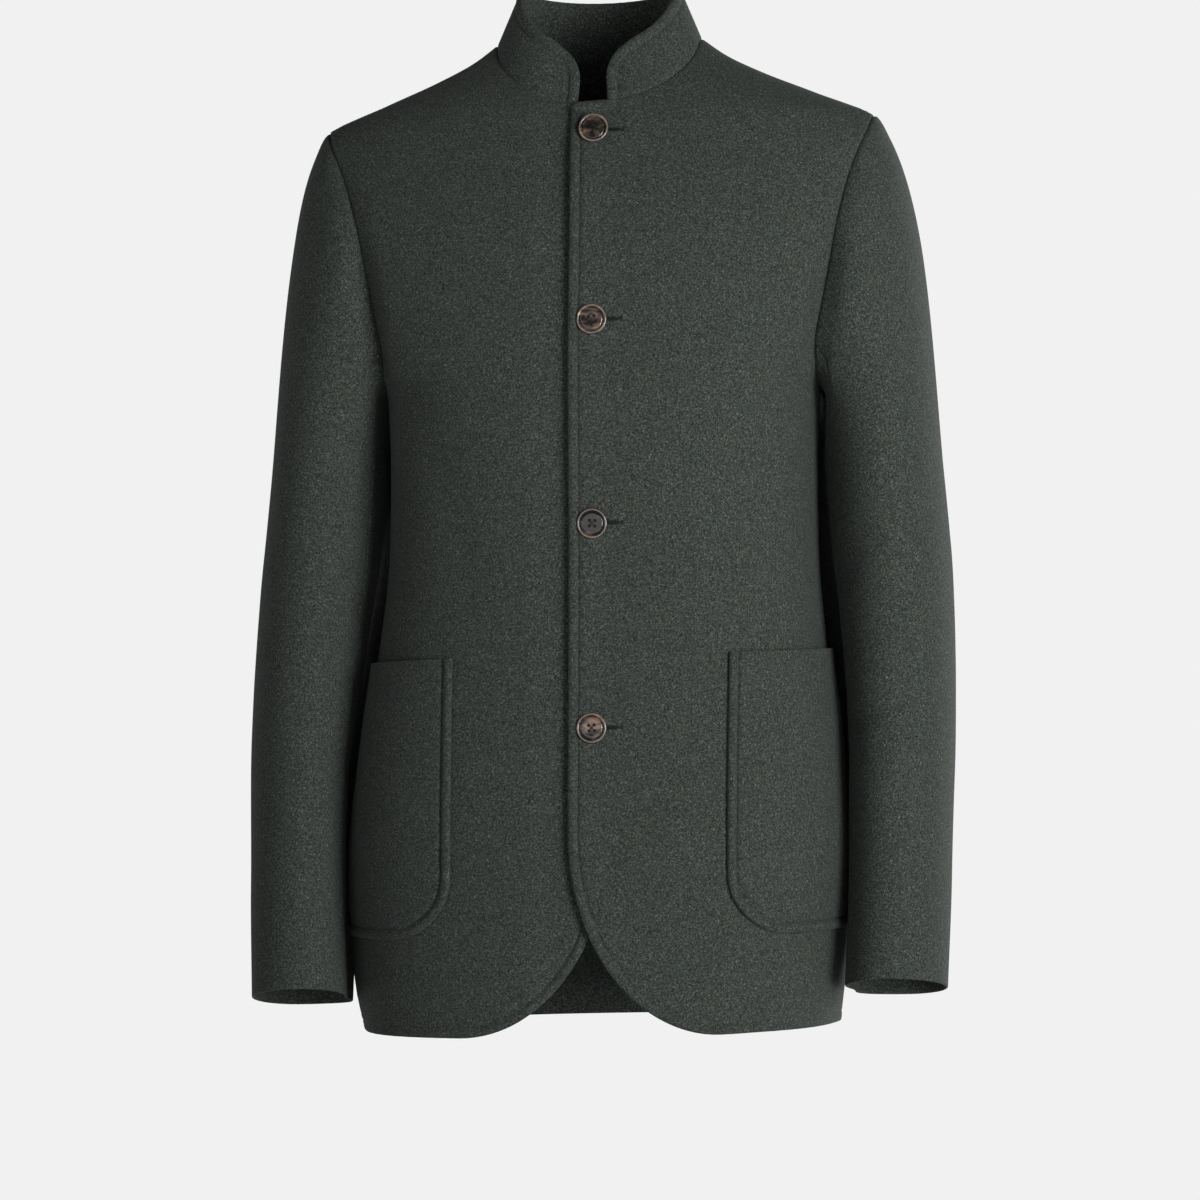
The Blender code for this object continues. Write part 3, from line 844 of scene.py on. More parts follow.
@dataclass(frozen=True)
class PolishedHorn(Finish):
    """Turned and polished horn: near black, with warm translucent streaks, a wet gloss and a pale painted
    highlight round its rim.

    Attributes:
        name: Name of the material.
        streak_mm: Width of a streak.
        wear_mm: Size of the spots that handling has dulled.
        rim: Pale colour painted on the rim as a highlight, standing in for the light that it catches all
            round.
        streaks: Colours of the horn, from dark to pale.
        ring: How much of the rim's painted highlight shows, by share of the button's radius.
    """

    name: str = "turned_polished_horn"
    streak_mm: float = 12.0
    wear_mm: float = 1000 / 900
    # Colour of the painted highlight on the rim
    rim: str = "#9a8a80"
    streaks: Stops = (
        (0.40, "#161311"), (0.52, "#28221f"), (0.60, "#4a403a"), (0.70, "#755c4c"), (0.82, "#a07e66"),
    )
    ring: Stops = ((0.85, "#000000"), (0.90, "#b0b0b0"), (0.945, "#bcbcbc"), (0.98, "#202020"))

    def dress(self, tree: Tree) -> None:
        """Draws streaks of pale brown through dark horn, and paints a pale highlight ring on the rim.

        Args:
            tree: The material's nodes.
        """
        place = object_place(tree)
        # Streaks along the grain make each button a little different, and its own tone shifts them
        lie = {"Rotation": (0.3, 0.5, 0.6), "Scale": (1.0, 1.0, 2.2)}
        grain = add_node(tree, "Mapping", {**lie, "Vector": place}).outputs["Vector"]
        streak = add_noise(tree, grain, self.streak_mm, Detail=3.0, Roughness=0.5, Distortion=0.6)
        shade, radius = (
            add_node(tree, "Attribute", {"attribute_name": mark}).outputs["Fac"]
            for mark in (SHADE_MARK, RADIUS_MARK)
        )
        toned = add_node(tree, "Math", {"operation": "ADD", 0: streak, 1: shade}).outputs["Value"]
        colour = add_ramp(tree, toned, self.streaks)
        # The rim gets a painted highlight: a pale ring of colour that stands in for the light it catches all
        # round
        worn = add_mix(tree, colour, to_linear(self.rim), add_ramp(tree, radius, self.ring))
        wear = add_noise(tree, place, self.wear_mm, Detail=2.0)
        gloss = add_node(tree, "MapRange", {"Value": wear, "To Min": 0.12, "To Max": 0.24}).outputs["Result"]
        # The polish gives small sharp highlights over softer ones
        add_surface(tree, {
            "Base Color": worn, "Roughness": gloss, "IOR": 1.56, "Coat Weight": 0.6, "Coat Roughness": 0.06,
        })


@dataclass(frozen=True)
class TwistedThread(Finish):
    """Twisted sewing thread in the cloth's own shade: dull, with a fine twist.

    Attributes:
        name: Name of the material.
        dark: Painted shade in the twist's grooves.
        pale: Colour on its strands.
        twist_mm: Spacing of the strands.
    """

    name: str = "twisted_sewing_thread"
    dark: str = "#151816"
    pale: str = "#282d2a"
    twist_mm: float = 0.5

    def dress(self, tree: Tree) -> None:
        """Draws the strands as fine bands, with painted shade in the grooves between them.

        Args:
            tree: The material's nodes.
        """
        strand = add_node(tree, "TexWave", {
            "bands_direction": "DIAGONAL", "Vector": object_place(tree), "Scale": WAVE_SCALE / self.twist_mm,
            "Distortion": 1.0, "Detail": 1.0,
        })
        colour = add_ramp(tree, strand.outputs["Fac"], ((0.2, self.dark), (0.8, self.pale)))
        # The thread stays darker and duller than the wool beside it
        add_surface(tree, {"Base Color": colour, "Roughness": 0.75, "IOR": 1.5, "Specular IOR Level": 0.3})


@dataclass(frozen=True)
class StudioFloor(Finish):
    """Pale painted studio floor: matt, with a faint unevenness.

    Attributes:
        name: Name of the material.
        drift_mm: Size of the paint's drifts of tone.
        paint: Colours of the drifts.
    """

    name: str = "pale_painted_floor"
    drift_mm: float = 500.0
    paint: Stops = ((0.3, "#cacac8"), (0.7, "#d0d0ce"))

    def dress(self, tree: Tree) -> None:
        """Adds a faint drift of tone to the paint, which gives the eye a plain matt ground."""
        drift = add_noise(tree, object_place(tree), self.drift_mm)
        add_surface(tree, {"Base Color": add_ramp(tree, drift, self.paint), "Roughness": 0.9})


def new_object(name: str, data: bpy.types.ID) -> bpy.types.Object:
    """Adds an object to the scene.

    Args:
        name: Its name.
        data: Its mesh, light or camera.

    Returns:
        The new object.
    """
    made = bpy.data.objects.new(name, data)
    bpy.context.scene.collection.objects.link(made)
    return made


def new_mesh(name: str, shape: Shape) -> bpy.types.Mesh:
    """Turns a shape into a mesh.

    Args:
        name: The mesh's name.
        shape: The shape, which is freed.

    Returns:
        The mesh.
    """
    data = bpy.data.meshes.new(name)
    shape.to_mesh(data)
    shape.free()
    return data


def new_piece(name: str, shape: Shape, finish: Finish) -> bpy.types.Object:
    """Makes a piece of the jacket that rides on its body.

    Args:
        name: The piece's name.
        shape: Its shape, in place. It is freed.
        finish: Its finish.

    Returns:
        The new object.
    """
    data = new_mesh(name, shape)
    data.shade_smooth()
    data.set_sharp_from_angle(angle=SHARP_ANGLE)
    data.materials.append(finish.material())
    piece = new_object(name, data)
    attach(piece, BODY)
    log.info("%s: %d faces", name, len(data.polygons))
    return piece


@dataclass
class ClothPiece:
    """A cut piece of cloth that stands for one solid.

    Attributes:
        hand: Side of the wearer that it is on.
        body: The body's form.
        finish: Its cloth.
    """

    hand: Hand
    body: BodyForm
    finish: Finish
    thickness: ClassVar[float] = CLOTH
    hold: ClassVar[Hold] = Hold.HUNG
    both_sides: ClassVar[bool] = False

    @property
    def node(self) -> str:
        """Name of the solid that the piece stands for."""
        raise NotImplementedError

    def carriers(self) -> list[str]:
        """Names of the solids that the piece is sewn to and hangs from or lies on."""
        raise NotImplementedError

    def grid(self) -> ClothGrid:
        """The piece's sheet, on the left side."""
        raise NotImplementedError

    def sink(self, points: Array, hand: Hand) -> Array:
        """How far the folds of one side move the sheet's points, given on the left side, inwards."""
        return self.body.sink(points if hand is Hand.LEFT else mirror_x(points))

    def worn(self, points: Array, wall: Array) -> tuple[Array, Array]:
        """Worn points and outward directions of a line.

        Args:
            points: The line's points, on the left side.
            wall: The cloth's outward directions at them.

        Returns:
            Points and directions, on the piece's own side.
        """
        if self.hand is Hand.RIGHT:
            points, wall = mirror_x(points), mirror_x(wall)
        return stance(points), wall

    def side_points(self, grid: ClothGrid, hand: Hand) -> tuple[Array, Array]:
        """Worn outer and inner points on one side.

        Args:
            grid: The sheet.
            hand: The side.

        Returns:
            Lists of outer and inner points.
        """
        sides = grid.sides(self.thickness, self.sink(grid.base, hand))
        if hand is Hand.RIGHT:
            sides = tuple(mirror_x(points) for points in sides)
        outer, inner = (stance(points).reshape(-1, 3) for points in sides)
        return outer, inner

    def build(self) -> bpy.types.Object:
        """Makes the piece.

        Returns:
            The new object, in place of its solid.
        """
        grid = self.grid()
        rows, columns = grid.base.shape[:2]
        mesh = bmesh.new()
        number = mesh.verts.layers.int.new("number")
        sheet = bmesh.ops.create_grid(mesh, x_segments=columns - 1, y_segments=rows - 1, size=1)
        for index, (vertex, point) in enumerate(zip(sheet["verts"], grid.base.reshape(-1, 3))):
            vertex[number] = index
            vertex.co = point
        places = {1: self.side_points(grid, self.hand)}
        if self.both_sides:
            half = mesh.verts[:] + mesh.edges[:] + mesh.faces[:]
            bmesh.ops.mirror(mesh, geom=half, axis="X", merge_dist=MERGE_DISTANCE)
            places[-1] = self.side_points(grid, Hand.RIGHT)
        outer_verts = mesh.verts[:]
        turned_in = bmesh.ops.extrude_face_region(mesh, geom=mesh.faces[:], use_keep_orig=True)
        inner_verts = [item for item in turned_in["geom"] if isinstance(item, bmesh.types.BMVert)]
        for level, verts in enumerate((outer_verts, inner_verts)):
            for vertex in verts:
                side = -1 if self.both_sides and vertex.co.x < -MERGE_DISTANCE else 1
                vertex.co = places[side][level][vertex[number]]
        bmesh.ops.recalc_face_normals(mesh, faces=mesh.faces[:])
        piece = new_piece(f"{self.node}_cloth", mesh, self.finish)
        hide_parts(self.node)
        self.state_cut(piece, grid)
        return piece

    def state_cut(self, piece: bpy.types.Object, grid: ClothGrid) -> None:
        """States the size that the piece was cut to.

        Args:
            piece: The finished object.
            grid: Its sheet, or the left half of it.
        """
        halves = 2 if self.both_sides else 1
        across = max(run_along(row)[-1] for row in grid.base)
        down = max(run_along(column)[-1] for column in np.swapaxes(grid.base, 0, 1))
        edges_down, edges_across = np.diff(grid.base, axis=0), np.diff(grid.base, axis=1)
        corners = ((edges_down[:, :-1], edges_across[:-1]), (edges_down[:, 1:], edges_across[1:]))
        quads = sum(np.linalg.norm(np.cross(*corner), axis=-1) for corner in corners)
        area = float(quads.sum()) / 2 * halves
        flat = (round(float(across) * halves, 3), round(float(down), 3))
        log.info("%s: cut %.3f by %.3f m, %.4f square metres", piece.name, *flat, area)


class PanelRow(NamedTuple):
    """A level row of a body panel: its height, the turns of its ends and its armhole step, or NO_STEP."""

    height: float
    first: float
    last: float
    step: float


@dataclass
class BodyPanel(ClothPiece):
    """A front or the back, which meets the sleeve at an armhole.

    Attributes:
        sleeve: The sleeve's form.
    """

    sleeve: SleeveForm
    armhole_rows: int = 66
    columns: int = 46
    mitre_columns: int = 8
    mitre_reach: float = 0.008

    def sink(self, points: Array, hand: Hand) -> Array:
        """How far the body's folds and the armhole's creases move the panel's points inwards."""
        return super().sink(points, hand) + self.sleeve.crease(points)

    def armhole_places(self) -> list[Pair]:
        """Height and step of each row that ends on the armhole, from the underarm up."""
        steps = np.linspace(self.sleeve.steps, 0, self.armhole_rows)
        return [(float(self.sleeve.armhole_row(np.array(step))[0]), float(step)) for step in steps]

    def row_turns(self, row: PanelRow, *steps: Sequence[float]) -> Array:
        """Turns of one row's points, with fixed steps at its two ends."""
        return self.body.row_turns((row.first, row.last), row.height, self.columns, *steps)

    def places(self, rows: list[PanelRow], *steps: Sequence[float]) -> tuple[Array, Array]:
        """Turns and heights of all the points of a panel's rows, with fixed steps at the rows' two ends."""
        turn = np.array([self.row_turns(row, *steps) for row in rows])
        return turn, np.repeat(np.array([row.height for row in rows])[:, None], turn.shape[1], axis=1)

    def meet_armhole(self, sheet: ClothGrid, steps: Array, around: Array, order: slice) -> None:
        """Draws the edge back from the armhole by half the gap and turns its wall to the seam's mitre.

        Args:
            sheet: The panel's sheet.
            steps: The armhole step of each row, or NO_STEP.
            around: Its place in steps round the armhole.
            order: Order of the columns that puts the armhole first.
        """
        rows = np.nonzero(steps >= 0)[0]
        base, wall = sheet.base[:, order], sheet.wall[:, order]
        base[rows, 0] -= self.sleeve.armhole_inward(around[rows]) * (SEWN_GAP / 2)
        mitre = self.sleeve.seam_mitre(around[rows])
        for column in range(self.mitre_columns):
            far = np.linalg.norm(base[rows, column] - base[rows, 0], axis=-1)
            share = (1 - ease(far, 0.0, self.mitre_reach))[:, None]
            wall[rows, column] = unit(mitre * share + wall[rows, column] * (1 - share))


@dataclass
class Front(BodyPanel):
    """A front, from its free edge round to the side seam, the armhole and the shoulder."""

    hem_curve_rows: int = 58
    side_rows: int = 96
    corner_rows: int = 7
    neck_rows: int = 44
    swell: float = 0.0011
    swell_loss: float = 0.7
    side_margin: float = 0.01
    stand_off: float = 0.0024
    stand_off_reach: Pair = (0.002, 0.032)
    stand_off_depths: Pair = (0.056, 0.100)
    stand_off_fade: float = 0.03
    stitch_end: float = 0.006
    stitch_slack: float = 0.0002
    corner_points: int = 40

    @property
    def node(self) -> str:
        """Name of the front's solid."""
        return f"front_{self.hand.label}"

    def carriers(self) -> list[str]:
        """The front hangs from the back's shoulder seam and the collar."""
        return ["back", "collar"]

    @staticmethod
    def edge_x(height: Any) -> Array:
        """How far out the free edge lies.

        Args:
            height: At which height.

        Returns:
            The distance. Negative is past the centre front.
        """
        low = np.clip((HEM_CURVE_TOP - height) / HEM_CURVE_HEIGHT, 0.0, 1.0)
        high = np.clip(1 - (FRONT_NECK - height) / OVERLAP_CORNER, 0.0, 1.0)
        bottom = HEM_CURVE_WIDTH * (1 - np.sqrt(1 - low**2))
        return bottom + OVERLAP_CORNER * (1 - np.sqrt(1 - high**2)) - OVERLAP

    def out_points(self, turn: Array, height: Array, out: Any = 0.0) -> Array:
        """Points of the front moved out from its face. The right front sinks below the left one.

        Args:
            turn: Turns.
            height: Heights.
            out: How far out.

        Returns:
            The points, on the left side.
        """
        points = self.body.point(turn, height)
        sunk = np.zeros(points.shape[:-1])
        if self.hand is Hand.RIGHT:
            sunk = UNDERLAP_DEPTH * (1 - ease(points[..., 0], UNDERLAP_FULL, UNDERLAP_START))
        return points + self.body.normal(turn, height) * (out - sunk)[..., None]

    def rows(self) -> list[PanelRow]:
        """The front's rows.

        Returns:
            The rows from the hem up.
        """
        heights = [*(HEM + foot_first(HEM_CURVE_HEIGHT, self.hem_curve_rows))]
        heights += [*np.linspace(HEM_CURVE_TOP, UNDERARM, self.side_rows)[:-1]]
        corner = FRONT_NECK - SEWN_GAP - OVERLAP_CORNER * (1 - np.sin(np.linspace(0, SIDE, self.corner_rows)))
        edges = [(height, self.edge_x(height), NO_STEP) for height in heights]
        edges += [(height, -OVERLAP, step) for height, step in self.armhole_places()]
        edges += [(height, self.edge_x(height), NO_STEP) for height in corner]
        starts = [(height, self.body.turn_at(x, height), step) for height, x, step in edges]
        angles = np.linspace(COLLAR_END_TURN, SIDE, self.neck_rows)
        neck = self.body.neck_places(Face.FRONT, angles, SEWN_GAP)
        starts += [(height, turn, NO_STEP) for height, turn in zip(*neck)]
        rows = []
        for height, first, step in starts:
            last = float(self.body.side_turn(height, -1))
            if step >= 0:
                last = min(last, float(self.sleeve.armhole_turn(step)[0]))
            rows.append(PanelRow(float(height), float(first), last, step))
        return rows

    def grid(self) -> ClothGrid:
        """The front's sheet, with its swelled free edge and rolled seams.

        Returns:
            The sheet, on the left side.
        """
        rows = self.rows()
        turn, height = self.places(rows, EDGE_STEPS, SEAM_STEPS)
        sheet = ClothGrid.plain(self.out_points(turn, height), self.body.normal(turn, height))
        steps = np.array([row.step for row in rows])
        self.meet_armhole(sheet, steps, steps, slice(None, None, -1))
        below_neck = len(rows) - self.neck_rows + 1
        free_edge = sheet.base[:below_neck, 0]
        side = self.body.sections.at("half_width", HEM) - self.side_margin
        to_side = ease(sheet.base[..., 0], HEM_CURVE_WIDTH, side)
        border = np.concatenate((sheet.base[0, ::-1], free_edge))
        sheet.finish_edge(border, self.swell * (1 - self.swell_loss * to_side))
        if self.hand is Hand.LEFT:
            distance, _ = nearest_on(sheet.base, free_edge)
            near = 1 - ease(distance, *self.stand_off_reach)
            proud = self.stand_off * near * ease(-sheet.base[..., 2], *self.stand_off_depths)
            sheet.lift += proud
            sheet.under += proud
        sheet.roll_seam(sheet.base[below_neck:, 0], *NECK_ROLL)
        sheet.roll_seam(sheet.base[:, -1], *ARMHOLE_ROLL)
        return sheet

    def stitch_line(self) -> tuple[Array, Array]:
        """Line of the top-stitching inside the free edge and the hem.

        Returns:
            Worn points and outward directions.
        """
        arc = np.linspace(0, SIDE, self.corner_points)
        corner_x = OVERLAP_CORNER * (1 - np.sin(arc)) - OVERLAP
        corner_z = FRONT_NECK - SEWN_GAP - OVERLAP_CORNER * (1 - np.cos(arc))
        curve_x = HEM_CURVE_WIDTH * (1 - np.cos(arc)) - OVERLAP
        curve_z = HEM_CURVE_TOP - HEM_CURVE_HEIGHT * np.sin(arc)
        end_x = float(self.body.point(self.body.side_turn(HEM, -1), HEM)[0]) - self.stitch_end
        edge = np.concatenate((
            [(COLLAR_END_X, corner_z[0])],
            np.stack((corner_x, corner_z), axis=1),
            np.stack((curve_x, curve_z), axis=1),
            [(end_x, HEM)],
        ))
        edge = resample(edge, STITCH_LINE_STEP)
        way = unit(np.gradient(edge, axis=0))
        inside = edge + np.stack((-way[:, 1], way[:, 0]), axis=1) * STITCH_INSET
        flat, border = (np.pad(line, ((0, 0), (0, 1))) for line in (inside, edge))
        inside = inside[nearest_on(flat, border)[0] > STITCH_INSET - self.stitch_slack]
        x, height = inside.T
        turn = self.body.turn_at(x, height)
        wall = self.body.normal(turn, height)
        points = self.out_points(turn, height)
        sunk = self.sink(points, self.hand) + GROOVE * self.swell
        if self.hand is Hand.LEFT:
            fade = 1 - ease(x, HEM_CURVE_WIDTH - self.stand_off_fade, HEM_CURVE_WIDTH)
            near = 1 - ease(STITCH_INSET, *self.stand_off_reach)
            sunk = sunk - self.stand_off * near * (ease(-height, *self.stand_off_depths) * fade)
        return self.worn(points - wall * sunk[:, None], wall)


@dataclass
class Back(BodyPanel):
    """The back in one piece: its left half, from the side seam to the middle, and the mirror of it."""

    both_sides: ClassVar[bool] = True
    side_rows: int = 118
    armhole_rows: int = 60
    shoulder_rows: int = 16
    neck_rows: int = 34
    columns: int = 52
    middle_steps: tuple[float, ...] = (0.0, 0.003)
    swell: float = 0.0010
    hem_swell: float = 0.3
    stitch_points: int = 260
    stitch_end: float = 0.02

    @property
    def node(self) -> str:
        """Name of the back's solid."""
        return "back"

    def carriers(self) -> list[str]:
        """The back hangs from the collar's seam."""
        return ["collar"]

    def rows(self) -> list[PanelRow]:
        """The rows of the back's left half.

        Returns:
            The rows from the hem up.
        """
        near_hem = [HEM + step for step in EDGE_STEPS]
        side = np.linspace(near_hem[-1], UNDERARM, self.side_rows)[1:-1]
        shoulder = np.linspace(SHOULDER_TIP, BACK_NECK, self.shoulder_rows)[1:-1]
        ends = [(height, math.pi, NO_STEP) for height in (*near_hem, *side)]
        ends += [(height, math.pi, step) for height, step in self.armhole_places()]
        ends += [(height, math.pi, NO_STEP) for height in shoulder]
        neck = self.body.neck_places(Face.BACK, np.linspace(0, SIDE, self.neck_rows), SEWN_GAP)
        ends += [(height, turn, NO_STEP) for height, turn in zip(*neck)]
        rows = []
        for height, last, step in ends:
            first = float(self.body.side_turn(height, 1))
            if step >= 0:
                first = max(first, float(self.sleeve.armhole_turn(2 * self.sleeve.steps - step)[0]))
            rows.append(PanelRow(float(height), first, float(last), step))
        return rows

    def grid(self) -> ClothGrid:
        """The left half of the back's sheet.

        Returns:
            The sheet.
        """
        rows = self.rows()
        turn, height = self.places(rows, SEAM_STEPS, self.middle_steps)
        sheet = ClothGrid.plain(self.body.point(turn, height), self.body.normal(turn, height))
        steps = np.array([row.step for row in rows])
        self.meet_armhole(sheet, steps, 2 * self.sleeve.steps - steps, slice(None))
        sheet.finish_edge(sheet.base[0], self.hem_swell * self.swell)
        sheet.roll_seam(sheet.base[:, 0], *ARMHOLE_ROLL)
        sheet.roll_seam(sheet.base[-self.neck_rows :, -1], *NECK_ROLL)
        return sheet

    def stitch_line(self) -> tuple[Array, Array]:
        """Line of the top-stitching inside the hem.

        Returns:
            Worn points and outward directions.
        """
        height = np.full(self.stitch_points, HEM + STITCH_INSET)
        start = float(self.body.side_turn(HEM, 1)) + self.stitch_end
        turn = np.linspace(start, math.tau - start, len(height))
        wall = self.body.normal(turn, height)
        points = self.body.point(turn, height)
        return self.worn(points - wall * (self.body.sink(points) + GROOVE * self.swell)[:, None], wall)


@dataclass
class SleevePiece(ClothPiece):
    """A lengthwise piece of a sleeve.

    Attributes:
        sleeve: The sleeve's form.
        cut: Which of its two pieces it is.
    """

    sleeve: SleeveForm
    cut: SleeveCut
    head_rows: int = 44
    head_length: float = 0.11
    arm_rows: int = 104
    columns_a_step: int = 4
    cuff_steps: tuple[float, ...] = (0.0, 0.0005, 0.0013, 0.0026, 0.0045)
    edge_steps: tuple[float, ...] = (0.0, 0.035, 0.09, 0.16, 0.30)
    inner_start: float = 0.5

    @property
    def node(self) -> str:
        """Name of the piece's solid."""
        return f"{self.cut.name.lower()}_sleeve_{self.hand.label}"

    def carriers(self) -> list[str]:
        """The sleeve hangs from the armhole of the front and the back."""
        return ["back", f"front_{self.hand.label}"]

    def sink(self, points: Array, hand: Hand) -> Array:
        """How far the sleeve's folds move its points inwards."""
        return self.sleeve.sink(points, hand)

    def grid(self) -> ClothGrid:
        """The piece's sheet, with a rolled armhole seam and a folded cuff.

        Returns:
            The sheet, on the left side.
        """
        first, last = self.cut.value
        arm_length = self.sleeve.top - self.sleeve.cuff
        near_seam = np.array(SEAM_STEPS) / self.head_length
        alongs = np.concatenate((
            near_seam,
            np.linspace(near_seam[-1], 1.0, self.head_rows)[1:],
            np.linspace(1.0, 2.0 - self.cuff_steps[-1] / arm_length, self.arm_rows)[1:-1],
            2.0 - np.array(self.cuff_steps[::-1]) / arm_length,
        ))
        near_edge = np.array(self.edge_steps)
        count = (last - first - 1) * self.columns_a_step + 1
        between = np.linspace(first + self.inner_start, last - self.inner_start, count)
        arounds = np.concatenate((first + near_edge, between, last - near_edge[::-1]))
        around, along = np.meshgrid(arounds, alongs)
        base = self.sleeve.point(around, along)
        for column, neighbour in ((0, 1), (-1, -2)):
            base[:, column] += unit(base[:, neighbour] - base[:, column]) * (SEWN_GAP / 2)
        sheet = ClothGrid.plain(base, self.sleeve.wall_way(around, along))
        sheet.finish_edge(base[-1])
        sheet.roll_seam(base[0], *ARMHOLE_ROLL)
        sheet.roll_seam(base[:, 0], *SLEEVE_ROLL)
        sheet.roll_seam(base[:, -1], *SLEEVE_ROLL)
        return sheet


@dataclass
class PatchPocket(ClothPiece):
    """A patch pocket: the front's own face moved out, a little full, open at the top.

    Attributes:
        front: The front that it is sewn on.
    """

    front: Front
    hold: ClassVar[Hold] = Hold.LAID
    mouth: float = -0.468
    bottom: float = -0.679
    inner_x: float = 0.103
    width: float = 0.163
    corner: float = 0.048
    belly: float = 0.0030
    fullest: float = 0.80
    corner_rows: int = 30
    straight_rows: int = 52
    mouth_rows: int = 4
    columns: int = 40
    swell: float = 0.0015
    mouth_sag: ClassVar[dict[Hand, float]] = {Hand.LEFT: 0.0, Hand.RIGHT: 0.0055}
    sag_reach: float = 0.10
    widest_turn: float = 2.0
    turn_points: int = 500
    corner_points: int = 24
    stitch_end: float = 0.002

    @property
    def node(self) -> str:
        """Name of the pocket's solid."""
        return f"pocket_{self.hand.label}"

    def carriers(self) -> list[str]:
        """The pocket lies on its front."""
        return [self.front.node]

    def inset(self, height: Any) -> Array:
        """How far the rounded lower corners draw the sides in."""
        share = np.clip(1 - (height - self.bottom) / self.corner, 0.0, 1.0)
        return self.corner * (1 - np.sqrt(1 - share**2))

    def turns(self, height: float, places: Array) -> Array:
        """Turns at distances across the pocket.

        Args:
            height: The row's height.
            places: Distances from the inner side of the uncurved pocket.

        Returns:
            The turns.
        """
        inset = float(self.inset(height))
        start = float(self.body.turn_at(self.inner_x + inset, height))
        turns = np.linspace(start, start + self.widest_turn, self.turn_points)
        run = run_along(self.body.point(turns, np.full_like(turns, height))) + inset
        return np.interp(places, run, turns)

    def sag(self, height: Array, share: Array) -> Array:
        """How far the cloth hangs lower towards the mouth's outer end."""
        near = np.clip(1 - (self.mouth - height) / self.sag_reach, 0.0, 1.0)
        return self.mouth_sag[self.hand] * near**2 * np.clip(share, 0.0, 1.0)

    def stand_off(self, height: Any, share: Array) -> Array:
        """How far the pocket's inner face stands off the front.

        Args:
            height: The row's height.
            share: Share of the pocket's width.

        Returns:
            The distance.
        """
        rise = (height - self.bottom) / (self.mouth - self.bottom)
        full = self.belly * np.sin(SIDE * rise / self.fullest)
        return LAY_GAP + full * np.sin(np.pi * np.clip(share, 0.0, 1.0))

    def grid(self) -> ClothGrid:
        """The pocket's sheet, with swelled sides and bottom.

        Returns:
            The sheet, on the left side.
        """
        near_mouth = [self.mouth - step for step in EDGE_STEPS[: self.mouth_rows][::-1]]
        heights = np.concatenate((
            self.bottom + foot_first(self.corner, self.corner_rows),
            np.linspace(self.bottom + self.corner, near_mouth[0], self.straight_rows)[:-1],
            near_mouth,
        ))
        turns, outs, rows = [], [], []
        for height in heights:
            inset = float(self.inset(height))
            length = self.width - 2 * inset
            places = graded(length, self.columns, EDGE_STEPS, EDGE_STEPS)
            turns.append(self.turns(float(height), places + inset))
            outs.append(self.stand_off(height, places / length))
            rows.append(height - self.sag(height, places / length))
        turn, height = np.array(turns), np.array(rows)
        base = self.front.out_points(turn, height, np.array(outs) + CLOTH)
        sheet = ClothGrid.plain(base, self.body.normal(turn, height))
        sheet.finish_edge(np.concatenate((base[::-1, 0], base[0], base[:, -1])), self.swell)
        sheet.finish_edge(base[-1])
        return sheet

    def stitch_line(self) -> tuple[Array, Array]:
        """Line of the top-stitching down the sides and round the bottom.

        Returns:
            Worn points and outward directions.
        """
        radius = self.corner - STITCH_INSET
        arc = np.linspace(0, SIDE, self.corner_points)
        left = self.corner - radius * np.cos(arc)
        low = self.bottom + self.corner - radius * np.sin(arc)
        outline = np.concatenate((
            [(STITCH_INSET, self.mouth - self.stitch_end)],
            np.stack((left, low), axis=1),
            np.stack((self.width - left, low), axis=1)[::-1],
            [(self.width - STITCH_INSET, self.mouth - self.stitch_end)],
        ))
        place, height = resample(outline, STITCH_LINE_STEP).T
        turn = np.array([self.turns(z, np.array([s]))[0] for s, z in zip(place, height)])
        inset = self.inset(height)
        share = (place - inset) / (self.width - 2 * inset)
        out = self.stand_off(height, share) + CLOTH - GROOVE * self.swell
        height = height - self.sag(height, share)
        wall = self.body.normal(turn, height)
        points = self.front.out_points(turn, height, out)
        return self.worn(points - wall * self.sink(points, self.hand)[:, None], wall)


